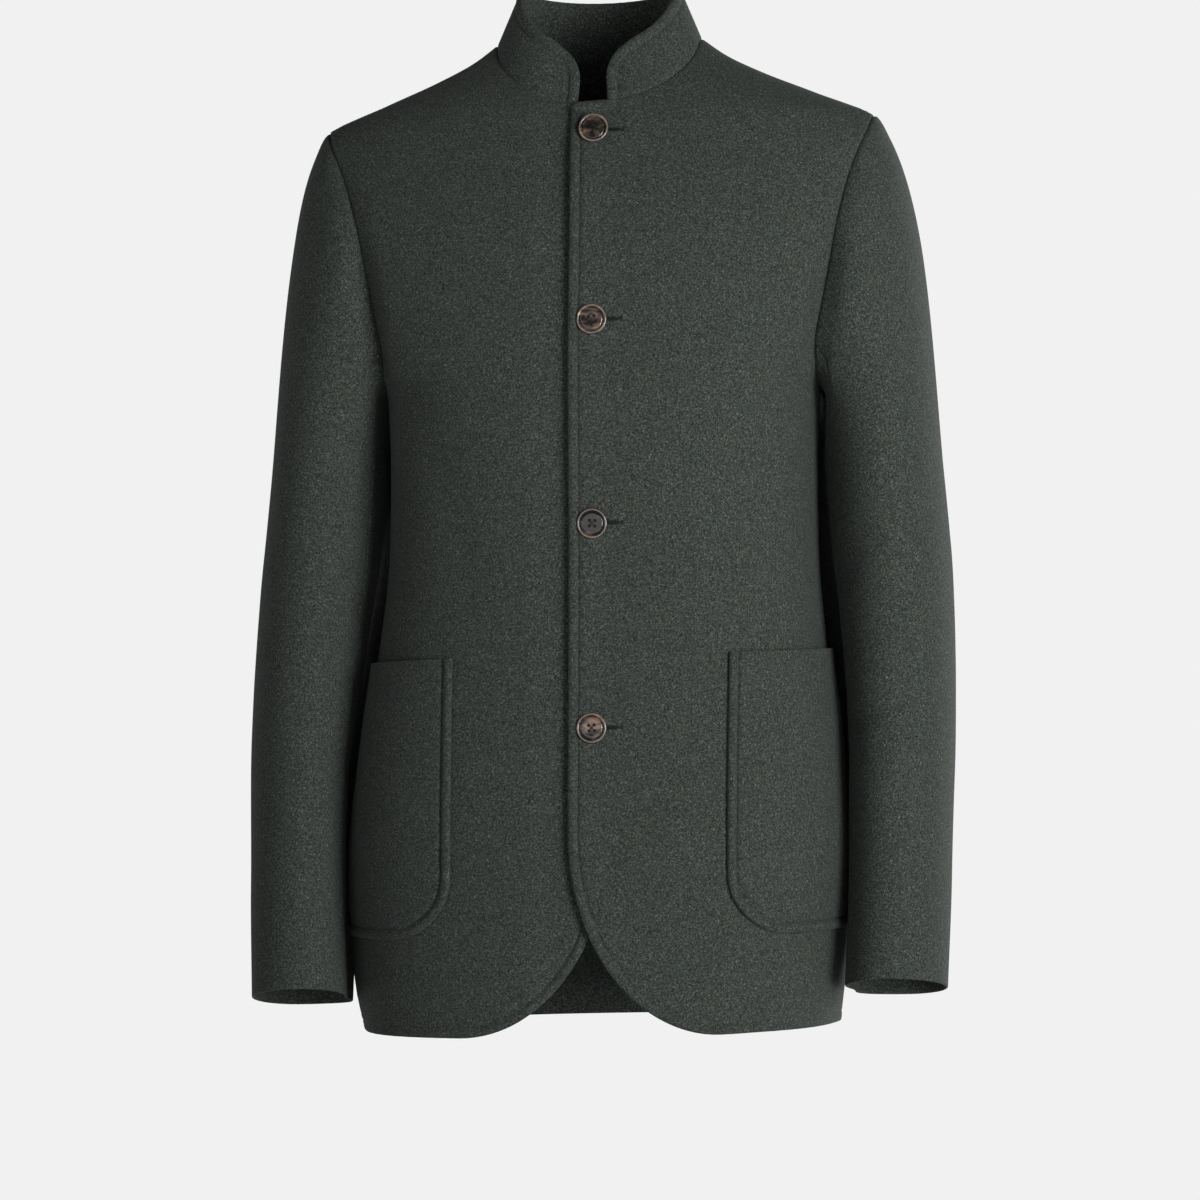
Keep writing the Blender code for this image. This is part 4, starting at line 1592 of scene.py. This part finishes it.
@dataclass
class Collar(ClothPiece):
    """The stand collar: a band that rises from the neckline, leans in to the neck and has rounded ends.

    Attributes:
        fronts: The two fronts that its ends are sewn to.
    """

    fronts: dict[Hand, Front]
    thickness: ClassVar[float] = COLLAR_CLOTH
    height: float = 0.046
    end_drop: float = 0.013
    end_run: float = 0.034
    lean: float = math.radians(23)
    end_round: float = 0.012
    least_round: float = 0.004
    round_loss: float = 0.5
    tuck: float = 0.0004
    columns: int = 150
    rows: int = 14
    seam_steps: tuple[float, ...] = (0.0, 0.002)
    corner_steps: tuple[float, ...] = (0.0, 0.0002, 0.0006, 0.0013, 0.0024)
    back_points: int = 60
    front_points: int = 70
    stitch_points: int = 260
    stitch_foot: float = 0.001
    end_points: int = 16
    probe: float = 0.01
    swell: float = 0.0010

    @property
    def node(self) -> str:
        """Name of the collar's solid."""
        return "collar"

    def carriers(self) -> list[str]:
        """The collar stands on the neckline of the back and the fronts."""
        return ["back", "front_left", "front_right"]

    def half(self, hand: Hand) -> Array:
        """Points of the neckline under half of the collar.

        Args:
            hand: Which half.

        Returns:
            The points, from the centre back to the collar's end.
        """
        heights, turns = self.body.neck_places(Face.BACK, np.linspace(0, SIDE, self.back_points))
        back = self.body.point(turns, heights)
        angles = np.linspace(SIDE, COLLAR_END_TURN, self.front_points)[1:]
        heights, turns = self.body.neck_places(Face.FRONT, angles)
        points = np.concatenate((back, self.fronts[hand].out_points(turns, heights)))
        return points if hand is Hand.LEFT else mirror_x(points)

    def seam(self) -> Array:
        """Points of the collar's seam, from the right end to the left one."""
        return np.concatenate((self.half(Hand.RIGHT)[:0:-1], self.half(Hand.LEFT)))

    def length(self) -> float:
        """Length of the collar's seam."""
        return float(run_along(self.seam())[-1])

    def place(self, run: Array, rise: Any, through: float = 0.0) -> Array:
        """Points of the collar.

        Args:
            run: Distance along the seam from the right end.
            rise: Distance up the collar from its seam.
            through: Distance in from its outer face.

        Returns:
            The points.
        """
        line = self.seam()
        base = along_line(line, run_along(line), run)
        inward = unit(base * np.array((-1.0, -1.0, 0.0)))
        rising = UP * math.cos(self.lean) + inward * math.sin(self.lean)
        inside = inward * math.cos(self.lean) - UP * math.sin(self.lean)
        return base + rising * np.asarray(rise)[..., None] + inside * through

    def rise_inside(self, run: Array, inset: float) -> Array:
        """Height of a line that runs inside the collar's top and rounded ends, less towards each end.

        Args:
            run: Distance along the seam from the right end.
            inset: How far inside the edge.

        Returns:
            The line's heights.
        """
        near = np.minimum(run, self.length() - run)
        short = np.clip(1 - near / self.end_run, 0.0, 1.0)
        radius = max(self.least_round, self.end_round - self.round_loss * inset)
        corner = np.clip(1 - (near - inset) / radius, 0.0, 1.0)
        turned = radius * (1 - np.sqrt(1 - corner**2))
        return self.height + LAY_GAP - inset - self.end_drop * short**2 - turned

    def sink(self, points: Array, hand: Hand) -> Array:
        """The collar has no folds."""
        return np.zeros(points.shape[:-1])

    def grid(self) -> ClothGrid:
        """The collar's sheet, with swelled ends and top.

        Returns:
            The sheet, whole.
        """
        runs = graded(self.length(), self.columns, EDGE_STEPS, EDGE_STEPS)
        rises = self.rise_inside(runs, 0.0)
        rise = np.array([graded(top, self.rows, self.seam_steps, EDGE_STEPS) for top in rises]).T - self.tuck
        run = np.repeat(runs[None, :], len(rise), axis=0)
        base = self.place(run, rise)
        sheet = ClothGrid.plain(base, unit(base - self.place(run, rise, self.probe)))
        border = np.concatenate((base[:, 0], base[-1], base[::-1, -1]))
        sheet.finish_edge(border, self.swell, COLLAR_STITCH_INSET)
        sheet.roll_seam(base[0], *NECK_ROLL)
        return sheet

    def stitch_line(self) -> tuple[Array, Array]:
        """Line of the top-stitching up the ends and along the top.

        Returns:
            Worn points and outward directions.
        """
        inset, length = COLLAR_STITCH_INSET, self.length()
        along = graded(length - 2 * inset, self.stitch_points, self.corner_steps, self.corner_steps) + inset
        top = self.rise_inside(along, inset)
        end = np.linspace(self.stitch_foot, top[0], self.end_points)[:-1]
        run = np.concatenate((np.full_like(end, inset), along, np.full_like(end, length - inset)))
        rise = np.concatenate((end, top, end[::-1]))
        points = self.place(run, rise, GROOVE * self.swell)
        return self.worn(points, unit(points - self.place(run, rise, self.probe)))


def seat_matrix(place: Vector, along: Vector, out: Vector) -> Matrix:
    """Place and turn of something that lies on cloth.

    Args:
        place: Where it is.
        along: Direction of its X axis.
        out: Direction of its Z axis.

    Returns:
        The matrix.
    """
    z = out.normalized()
    x = (along - z * along.dot(z)).normalized()
    return Matrix.Translation(place) @ Matrix((x, z.cross(x), z)).transposed().to_4x4()


def add_bead(shape: Shape, seat: Matrix, place: Triple, size: Triple, segments: tuple[int, int]) -> None:
    """Adds a rounded bead of thread.

    Args:
        shape: What it goes in.
        seat: Where its frame is.
        place: Its middle, in that frame.
        size: Its half sizes.
        segments: How many it has round and from end to end.
    """
    matrix = seat @ Matrix.Translation(place) @ Matrix.Diagonal((*size, 1.0))
    around, along = segments
    bmesh.ops.create_uvsphere(shape, u_segments=around, v_segments=along, radius=1.0, matrix=matrix)


@dataclass(frozen=True)
class TopStitching:
    """A run of short sunk stitches.

    Attributes:
        finish: The thread.
        pitch: Distance from stitch to stitch.
        length: Length of a stitch.
        radius: Half the thread's thickness.
        look_ahead: Distance over which a stitch takes its direction.
        segments: How many a stitch has round and from end to end.
    """

    finish: Finish
    pitch: float = 0.0042
    length: float = 0.0033
    radius: float = 0.00027
    look_ahead: float = 0.001
    segments: tuple[int, int] = (6, 5)

    def sew(self, name: str, line: tuple[Array, Array]) -> bpy.types.Object:
        """Makes the stitches along a line.

        Args:
            name: The piece's name.
            line: Points and outward directions.

        Returns:
            The new object.
        """
        points, walls = line
        run = run_along(points)
        shape = bmesh.new()
        for place in np.arange(self.pitch / 2, run[-1], self.pitch):
            here, ahead = (Vector(along_line(points, run, p)) for p in (place, place + self.look_ahead))
            seat = seat_matrix(here, ahead - here, Vector(along_line(walls, run, place)))
            size = (self.length / 2, self.radius, self.radius)
            add_bead(shape, seat, (0.0, 0.0, 0.0), size, self.segments)
        return new_piece(name, shape, self.finish)


@dataclass(frozen=True)
class ButtonPlace:
    """A button's row.

    Attributes:
        number: The button's number, from the top.
        height: Its height on the front.
        turn: How far it is turned, in degrees.
        tone: How much paler its horn is than the others'.
        hang: How far it hangs forward over its lower edge, in degrees.
    """

    number: int
    height: float
    turn: float
    tone: float
    hang: float = 0.0


@dataclass
class HornButton:
    """A turned horn button with a raised rim, a dished middle and four holes, sewn on through them.

    Attributes:
        row: Where it sits.
        seat: Its place on the cloth.
        horn: Finish of the button.
        thread: Finish of its thread.
    """

    row: ButtonPlace
    seat: Matrix
    horn: Finish
    thread: Finish
    # Radius and height of the outline, from the middle of the face over the rim to the middle of the back
    profile: tuple[Pair, ...] = (
        (0.0, 0.0019), (0.0032, 0.00192), (0.0056, 0.0020), (0.0074, 0.0022), (0.0080, 0.0020),
        (0.0084, 0.0014), (0.0088, 0.0013), (0.0091, 0.0020), (0.0093, 0.0029), (0.0096, 0.0034),
        (0.0100, 0.0036), (0.0105, 0.0036), (0.0109, 0.0034), (0.0112, 0.0029), (0.0113, 0.0024),
        (0.0111, 0.0018), (0.0104, 0.0010), (0.0090, 0.0004), (0.0070, 0.0001), (0.0, 0.0),
    )
    sides: int = 72
    hole_radius: float = 0.00128
    hole_spacing: float = 0.0040
    hole_sides: int = 20
    drill_depth: float = 0.02
    rest_radius: float = 0.0095
    strand_shift: float = 0.00028
    strand_height: float = 0.0015
    strand_size: Triple = (0.0024, 0.00020, 0.0005)
    strand_segments: tuple[int, int] = (16, 10)
    fill_height: float = 0.0006
    fill_size: Triple = (hole_radius, hole_radius, 0.0007)
    fill_segments: tuple[int, int] = (16, 8)
    shank_height: float = 0.0004
    shank_size: Triple = (0.0026, 0.0026, 0.0018)

    def holes(self) -> list[Pair]:
        """Middles of the four holes."""
        half = self.hole_spacing / 2
        return [(x, y) for x in (-half, half) for y in (-half, half)]

    def drilled(self) -> Shape:
        """The turned button with its holes.

        Returns:
            The shape, at the origin.
        """
        turned = bmesh.new()
        points = [turned.verts.new((radius, 0.0, height)) for radius, height in self.profile]
        edges = [turned.edges.new(pair) for pair in zip(points, points[1:])]
        bmesh.ops.spin(
            turned, geom=points + edges, axis=(0, 0, 1), cent=(0, 0, 0), angle=math.tau, steps=self.sides,
            use_merge=True,
        )
        bmesh.ops.remove_doubles(turned, verts=turned.verts[:], dist=MERGE_DISTANCE)
        bmesh.ops.recalc_face_normals(turned, faces=turned.faces[:])
        drills = bmesh.new()
        for x, y in self.holes():
            bmesh.ops.create_cone(
                drills, cap_ends=True, segments=self.hole_sides, radius1=self.hole_radius,
                radius2=self.hole_radius, depth=self.drill_depth, matrix=Matrix.Translation((x, y, 0.0)),
            )
        blank, drill = (
            new_object("button_blank", new_mesh("button_blank", shape)) for shape in (turned, drills)
        )
        cut = blank.modifiers.new("thread_holes", "BOOLEAN")
        cut.operation = "DIFFERENCE"
        cut.object = drill
        bpy.context.view_layer.update()
        data = bpy.data.meshes.new_from_object(blank.evaluated_get(bpy.context.evaluated_depsgraph_get()))
        shape = bmesh.new()
        shape.from_mesh(data)
        for item in (blank, drill):
            bpy.data.objects.remove(item)
        bpy.data.meshes.remove(data)
        return shape

    def build(self) -> bpy.types.Object:
        """Makes the button and its thread.

        Returns:
            The button, in place of its solid.
        """
        foot = Matrix.Translation((0.0, -self.rest_radius, 0.0))
        hung = foot @ Matrix.Rotation(math.radians(self.row.hang), 4, "X") @ foot.inverted()
        turned = self.seat @ hung @ Matrix.Rotation(math.radians(self.row.turn), 4, "Z")
        shape = self.drilled()
        # The radius mark places the horn's painted highlight ring on the rim
        outermost = max(radius for radius, _ in self.profile)
        far, tone = (shape.verts.layers.float.new(mark) for mark in (RADIUS_MARK, SHADE_MARK))
        for vert in shape.verts:
            vert[far] = vert.co.xy.length / outermost
            vert[tone] = self.row.tone
        bmesh.ops.transform(shape, matrix=turned, verts=shape.verts[:])
        button = new_piece(f"horn_button_{self.row.number}", shape, self.horn)
        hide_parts(f"button_{self.row.number}")
        self.sew_on(turned)
        return button

    def sew_on(self, turned: Matrix) -> None:
        """Makes the thread: two strands between each pair of holes, its fill in the holes and its shank.

        Args:
            turned: Place and turn of the button.
        """
        strands = bmesh.new()
        half = self.hole_spacing / 2
        for y in (-half, half):
            for shift in (-self.strand_shift, self.strand_shift):
                place = (0.0, y + shift, self.strand_height)
                add_bead(strands, turned, place, self.strand_size, self.strand_segments)
        for x, y in self.holes():
            add_bead(strands, turned, (x, y, self.fill_height), self.fill_size, self.fill_segments)
        add_bead(strands, self.seat, (0.0, 0.0, self.shank_height), self.shank_size, self.fill_segments)
        new_piece(f"button_thread_{self.row.number}", strands, self.thread)


@dataclass
class Buttonhole:
    """A worked buttonhole: rows of close stitches with a bar across their end, and between them a near black
    sheet of painted shade for the slit.

    Attributes:
        row: The button that goes through it.
        seat: Place of the button on the cloth.
        thread: Finish of the stitches.
        slit: Finish of the painted shade inside the slit.
    """

    row: ButtonPlace
    seat: Matrix
    thread: Finish
    slit: Finish
    start: float = 0.004
    end: float = 0.0222
    pitch: float = 0.00062
    taper: float = 0.006
    end_gap: float = 0.00035
    more_gap: float = 0.00095
    stitch_rise: float = 0.0001
    stitch_size: Triple = (0.00034, 0.00045, 0.00026)
    bar_half: float = 0.0013
    bar_stitches: int = 6
    bar_run: float = 0.0003
    bar_rise: float = 0.00015
    bar_size: Triple = (0.00055, 0.00032, 0.00032)
    slit_half: Pair = (0.0012, 0.00034)
    segments: tuple[int, int] = (6, 4)
    slit_segments: tuple[int, int] = (24, 8)

    def build(self) -> bpy.types.Object:
        """Makes the buttonhole.

        Returns:
            The stitches.
        """
        shape = bmesh.new()
        for x in map(float, np.arange(self.start, self.end, self.pitch)):
            gap = self.more_gap * (1 - ease(x, self.end - self.taper, self.end)) + self.end_gap
            for side in (-1, 1):
                place = (x, side * gap, self.stitch_rise - LAY_GAP)
                add_bead(shape, self.seat, place, self.stitch_size, self.segments)
        for y in map(float, np.linspace(-self.bar_half, self.bar_half, self.bar_stitches)):
            place = (self.end + self.bar_run, y, self.bar_rise - LAY_GAP)
            add_bead(shape, self.seat, place, self.bar_size, self.segments)
        stitches = new_piece(f"buttonhole_{self.row.number}", shape, self.thread)
        # The slit is painted shade: a near black lens laid on the cloth between the rows of stitches
        inside = bmesh.new()
        middle, half = (self.start + self.end) / 2, (self.end - self.start) / 2
        add_bead(inside, self.seat, (middle, 0.0, -LAY_GAP), (half, *self.slit_half), self.slit_segments)
        new_piece(f"buttonhole_slit_{self.row.number}", inside, self.slit)
        return stitches


@dataclass(frozen=True)
class SoftLight:
    """A soft rectangular light that faces the jacket.

    Attributes:
        name: Its name.
        place: Where it stands.
        size: Its width and height.
        power: In watts.
    """

    name: str
    place: Triple
    size: Pair
    power: float
    target: Triple = (0.0, 0.0, -0.4)

    def build(self) -> None:
        """Makes the light, which the camera doesn't see."""
        data = bpy.data.lights.new(self.name, "AREA")
        data.shape = "RECTANGLE"
        data.size, data.size_y = self.size
        data.energy = self.power
        lamp = new_object(self.name, data)
        lamp.location = self.place
        lamp.visible_camera = False
        lamp.rotation_euler = (Vector(self.target) - Vector(self.place)).to_track_quat("-Z", "Y").to_euler()


@dataclass(frozen=True)
class Studio:
    """Plain pale studio: floor, soft light and the camera at the photograph's viewing angle.

    Attributes:
        azimuth: Angle of the camera round the jacket.
        distance: From the camera to the jacket.
        wide: Width of the picture at the jacket.
        aim: Sideways shift and height of the picture's middle.
        floor_height: Height of the floor below the neck.
        floor_radius: Of the round floor.
        walls: Colour of the pale walls and, above them, of the dim studio, by the height of the view.
        lights: Its lights.
    """

    azimuth: float = math.radians(5.5)
    distance: float = 4.0
    wide: float = 0.918
    aim: Pair = (-0.0038, -0.427)
    floor_height: float = -1.52
    floor_radius: float = 2.6
    walls: Stops = ((0.125, "#f1f1f1"), (0.165, "#3b3936"))
    lights: tuple[SoftLight, ...] = (
        SoftLight("key_softbox", (2.15, -2.40, -0.20), (1.3, 1.8), 95.0),
        SoftLight("fill_softbox", (-2.2, -2.4, 0.3), (1.6, 2.0), 2.0),
        SoftLight("back_softbox", (2.2, 2.7, -0.2), (1.3, 1.8), 46.0),
    )

    def build(self) -> None:
        """Makes the floor, surroundings, lights and camera."""
        self.make_floor()
        self.make_world()
        for light in self.lights:
            light.build()
        self.make_camera()

    def make_floor(self) -> None:
        """Makes the round floor."""
        shape = bmesh.new()
        place = Matrix.Translation((0, 0, self.floor_height))
        bmesh.ops.create_circle(shape, cap_ends=True, segments=96, radius=self.floor_radius, matrix=place)
        data = new_mesh("floor", shape)
        data.materials.append(StudioFloor().material())
        floor = new_object("floor", data)

    def make_world(self) -> None:
        """Makes the pale surroundings."""
        world = bpy.data.worlds.new("pale_studio")
        world.use_nodes = True
        tree = world.node_tree
        way = add_node(tree, "TexCoord", {}).outputs["Generated"]
        rise = add_node(tree, "SeparateXYZ", {"Vector": way}).outputs["Z"]
        tree.links.new(add_ramp(tree, rise, self.walls), tree.nodes["Background"].inputs["Color"])
        bpy.context.scene.world = world
        bpy.context.scene.view_settings.view_transform = "Standard"

    def make_camera(self) -> None:
        """Makes the camera."""
        data = bpy.data.cameras.new("camera")
        data.sensor_width = 36.0
        data.lens = data.sensor_width * self.distance / self.wide
        data.clip_end = 50.0
        camera = new_object("camera", data)
        right = Vector((math.cos(self.azimuth), math.sin(self.azimuth), 0.0))
        back = Vector((math.sin(self.azimuth), -math.cos(self.azimuth), 0.0))
        camera.location = right * self.aim[0] + Vector((0, 0, self.aim[1])) + back * self.distance
        camera.rotation_euler = (SIDE, 0.0, self.azimuth)
        bpy.context.scene.camera = camera


BODY_SECTIONS = HeightTable(
    ("height", "half_width", "front", "back", "squareness"),
    (
        (HEM, 0.178, 0.121, 0.119, 2.35),
        (-0.690, 0.184, 0.125, 0.123, 2.35),
        (-0.620, 0.186, 0.126, 0.122, 2.35),
        (-0.540, 0.180, 0.124, 0.114, 2.35),
        (-0.470, 0.172, 0.121, 0.105, 2.35),
        (-0.390, 0.164, 0.119, 0.099, 2.40),
        (-0.330, 0.163, 0.122, 0.103, 2.45),
        (UNDERARM, 0.165, 0.126, 0.112, 2.50),
        (-0.237, 0.186, 0.125, 0.117, 2.40),
        (-0.211, 0.201, 0.123, 0.119, 2.25),
        (-0.182, 0.215, 0.119, 0.120, 2.15),
        (-0.149, 0.226, 0.112, 0.118, 2.10),
        (-0.121, 0.230, 0.103, 0.113, 2.05),
        (-0.092, 0.226, 0.091, 0.104, 2.00),
        (SHOULDER_TIP, 0.208, 0.078, 0.092, 2.00),
        (-0.044, 0.1635, 0.067, 0.082, 2.00),
        (-0.029, 0.1275, 0.056, 0.074, 2.00),
        (-0.014, 0.0975, 0.044, 0.066, 2.00),
        (0.000, NECK_HALF_WIDTH, 0.034, 0.058, 2.00),
    ),
)
SIDE_SEAM = HeightTable(
    ("height", "turn"),
    ((HEM, math.radians(101)), (-0.600, math.radians(101)), (-0.400, math.radians(95)), (UNDERARM, SIDE)),
)
# Height, front and back
ARMHOLE = (
    (SHOULDER_TIP, 0.2080, 0.2080),
    (-0.078, 0.2035, 0.2042),
    (-0.095, 0.1965, 0.1985),
    (-0.121, 0.1880, 0.1910),
    (-0.149, 0.1810, 0.1855),
    (-0.182, 0.1755, 0.1805),
    (-0.211, 0.1705, 0.1755),
    (-0.237, 0.1663, 0.1700),
    (-0.258, 0.1640, 0.1660),
    (UNDERARM, 0.1650, 0.1650),
)
SLEEVE_SECTIONS = HeightTable(
    ("height", "out", "fore", "half_width", "half_depth", "pitch", "twist", "rest"),
    (
        (-0.330, 0.2130, 0.010, 0.0450, 0.072, 0, 0, 0.028),
        (-0.390, 0.2190, 0.009, 0.0450, 0.070, 2, 3, 0.034),
        (-0.440, 0.2240, 0.005, 0.0433, 0.067, 6, 6, 0.036),
        (-0.500, 0.2285, -0.003, 0.0405, 0.063, 9, 10, 0.032),
        (-0.560, 0.2315, -0.011, 0.0372, 0.059, 11, 13, 0.026),
        (-0.640, 0.2312, -0.020, 0.0358, 0.054, 11, 14, 0.020),
        (-0.7245, 0.2285, -0.030, 0.0362, 0.050, 11, 14, 0.012),
    ),
)
# Folds of the armholes and sleeves by steps round and place along, and of the body by degrees and height
ARMHOLE_CREASES = (
    Fold(((1.5, 0.0), (4.0, 0.0), (7.0, 0.0)), 0.0075, 0.0024),
    Fold(((4.0, 0.0), (7.0, 0.0), (9.5, 0.0)), 0.0105, 0.0085, 0.72),
    Fold(((-3.5, 0.02), (0.0, 0.02), (3.0, 0.02)), 0.011, -0.0018),
    Fold(((20.5, 0.0), (18.0, 0.0), (15.8, 0.0)), 0.0110, 0.0045, 0.60),
    Fold(((12.0, 0.0), (14.0, 0.0), (16.4, 0.0)), 0.0150, -0.0090),
)
BODY_FOLDS = (
    Fold(((62.0, -0.250), (50.0, -0.330), (44.0, -0.420)), 0.020, 0.0016, 0.4),
    Fold(((-60.0, -0.255), (-47.0, -0.340), (-40.0, -0.440)), 0.018, 0.0014, 0.4),
    Fold(((150.0, -0.330), (175.0, -0.352), (205.0, -0.338)), 0.016, 0.0032),
    Fold(((160.0, -0.400), (185.0, -0.415), (212.0, -0.402)), 0.014, 0.0025),
    Fold(((128.0, -0.190), (136.0, -0.280), (140.0, -0.360)), 0.018, 0.0036, 0.45),
    Fold(((232.0, -0.185), (225.0, -0.275), (219.0, -0.350)), 0.018, 0.0034, 0.45),
    Fold(((96.0, -0.460), (97.0, -0.600), (96.0, -0.700), (95.0, -0.860)), 0.032, -0.0055, 0.62),
    Fold(((-96.0, -0.460), (-97.0, -0.600), (-95.0, -0.680), (-94.0, -0.765)), 0.034, -0.0098, 0.70),
)
ELBOW_RIDGE = Fold(((11.5, 0.20), (13.5, 0.45), (15.5, 0.60)), 0.016, -0.0060)
SLEEVE_FOLDS = {
    Hand.LEFT: (
        Fold(((6.0, 1.12), (8.5, 1.22), (10.0, 1.26)), 0.014, 0.0016),
        Fold(((14.0, 1.28), (17.5, 1.36), (20.0, 1.38)), 0.015, 0.0018),
        Fold(((3.0, 1.42), (6.5, 1.50), (9.5, 1.52)), 0.012, 0.0012),
        Fold(((9.6, 1.45), (9.6, 1.70), (9.6, 1.90), (9.6, 2.30)), 0.020, -0.0030),
        ELBOW_RIDGE,
    ),
    Hand.RIGHT: (
        Fold(((5.5, 1.16), (8.0, 1.25), (10.5, 1.30)), 0.014, 0.0015),
        Fold(((14.5, 1.30), (17.0, 1.40), (20.5, 1.43)), 0.016, 0.0018),
        Fold(((3.5, 1.46), (6.0, 1.53), (9.0, 1.57)), 0.012, 0.0012),
        Fold(((13.0, 1.60), (13.0, 1.85), (12.8, 2.30)), 0.018, -0.0035),
        ELBOW_RIDGE,
    ),
}
BUTTON_X = 0.002
BUTTON_LOOK_AHEAD = 0.02
BUTTONS = (
    ButtonPlace(1, -0.075, 20.0, 0.05, 10.0),
    ButtonPlace(2, -0.219, 8.0, 0.11),
    ButtonPlace(3, -0.370, -4.0, -0.05),
    ButtonPlace(4, -0.522, 3.0, 0.04),
)


def dress_buttons(front: Front, horn: Finish, thread: Finish, slit: Finish) -> None:
    """Makes the buttons and their buttonholes on the left front.

    Args:
        front: The left front.
        horn: Finish of the buttons.
        thread: Finish of the sewing.
        slit: Finish of the painted shade inside the buttonholes.
    """
    for row in BUTTONS:
        turn = front.body.turn_at(BUTTON_X, row.height)
        height = np.array(row.height)
        place, ahead = (
            Vector(stance(front.out_points(turn + step, height, LAY_GAP)))
            for step in (0.0, BUTTON_LOOK_AHEAD)
        )
        seat = seat_matrix(place, ahead - place, Vector(front.body.normal(turn, height)))
        HornButton(row, seat, horn, thread).build()
        Buttonhole(row, seat, thread, slit).build()


def main() -> None:
    """Builds the dressed jacket and its studio."""
    logging.basicConfig(level=logging.INFO, format="%(message)s")
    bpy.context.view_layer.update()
    wool, horn = FeltedWool(), PolishedHorn()
    thread = TwistedThread()
    # The buttonholes' painted shade: near black bands that stand in for the shade inside each slit
    slit = TwistedThread("shadowed_slit_wool", "#050606", "#0b0d0c", 0.9)
    body = BodyForm(BODY_SECTIONS, SIDE_SEAM, BODY_FOLDS)
    sleeve = SleeveForm(body, ARMHOLE, SLEEVE_SECTIONS, SLEEVE_FOLDS, ARMHOLE_CREASES)
    stitching = TopStitching(thread)
    fronts = {hand: Front(hand, body, wool, sleeve) for hand in Hand}
    back = Back(Hand.LEFT, body, wool, sleeve)
    collar = Collar(Hand.LEFT, body, wool, fronts)
    pockets = [PatchPocket(hand, body, wool, fronts[hand]) for hand in Hand]
    sleeves = [SleevePiece(hand, body, wool, sleeve, cut) for hand in Hand for cut in SleeveCut]
    for piece in (back, *fronts.values(), collar, *pockets, *sleeves):
        piece.build()
    for piece in (back, *fronts.values(), collar, *pockets):
        stitching.sew(f"{piece.node}_stitching", piece.stitch_line())
    dress_buttons(fronts[Hand.LEFT], horn, thread, slit)
    Studio().build()


if __name__ == "__main__":
    main()
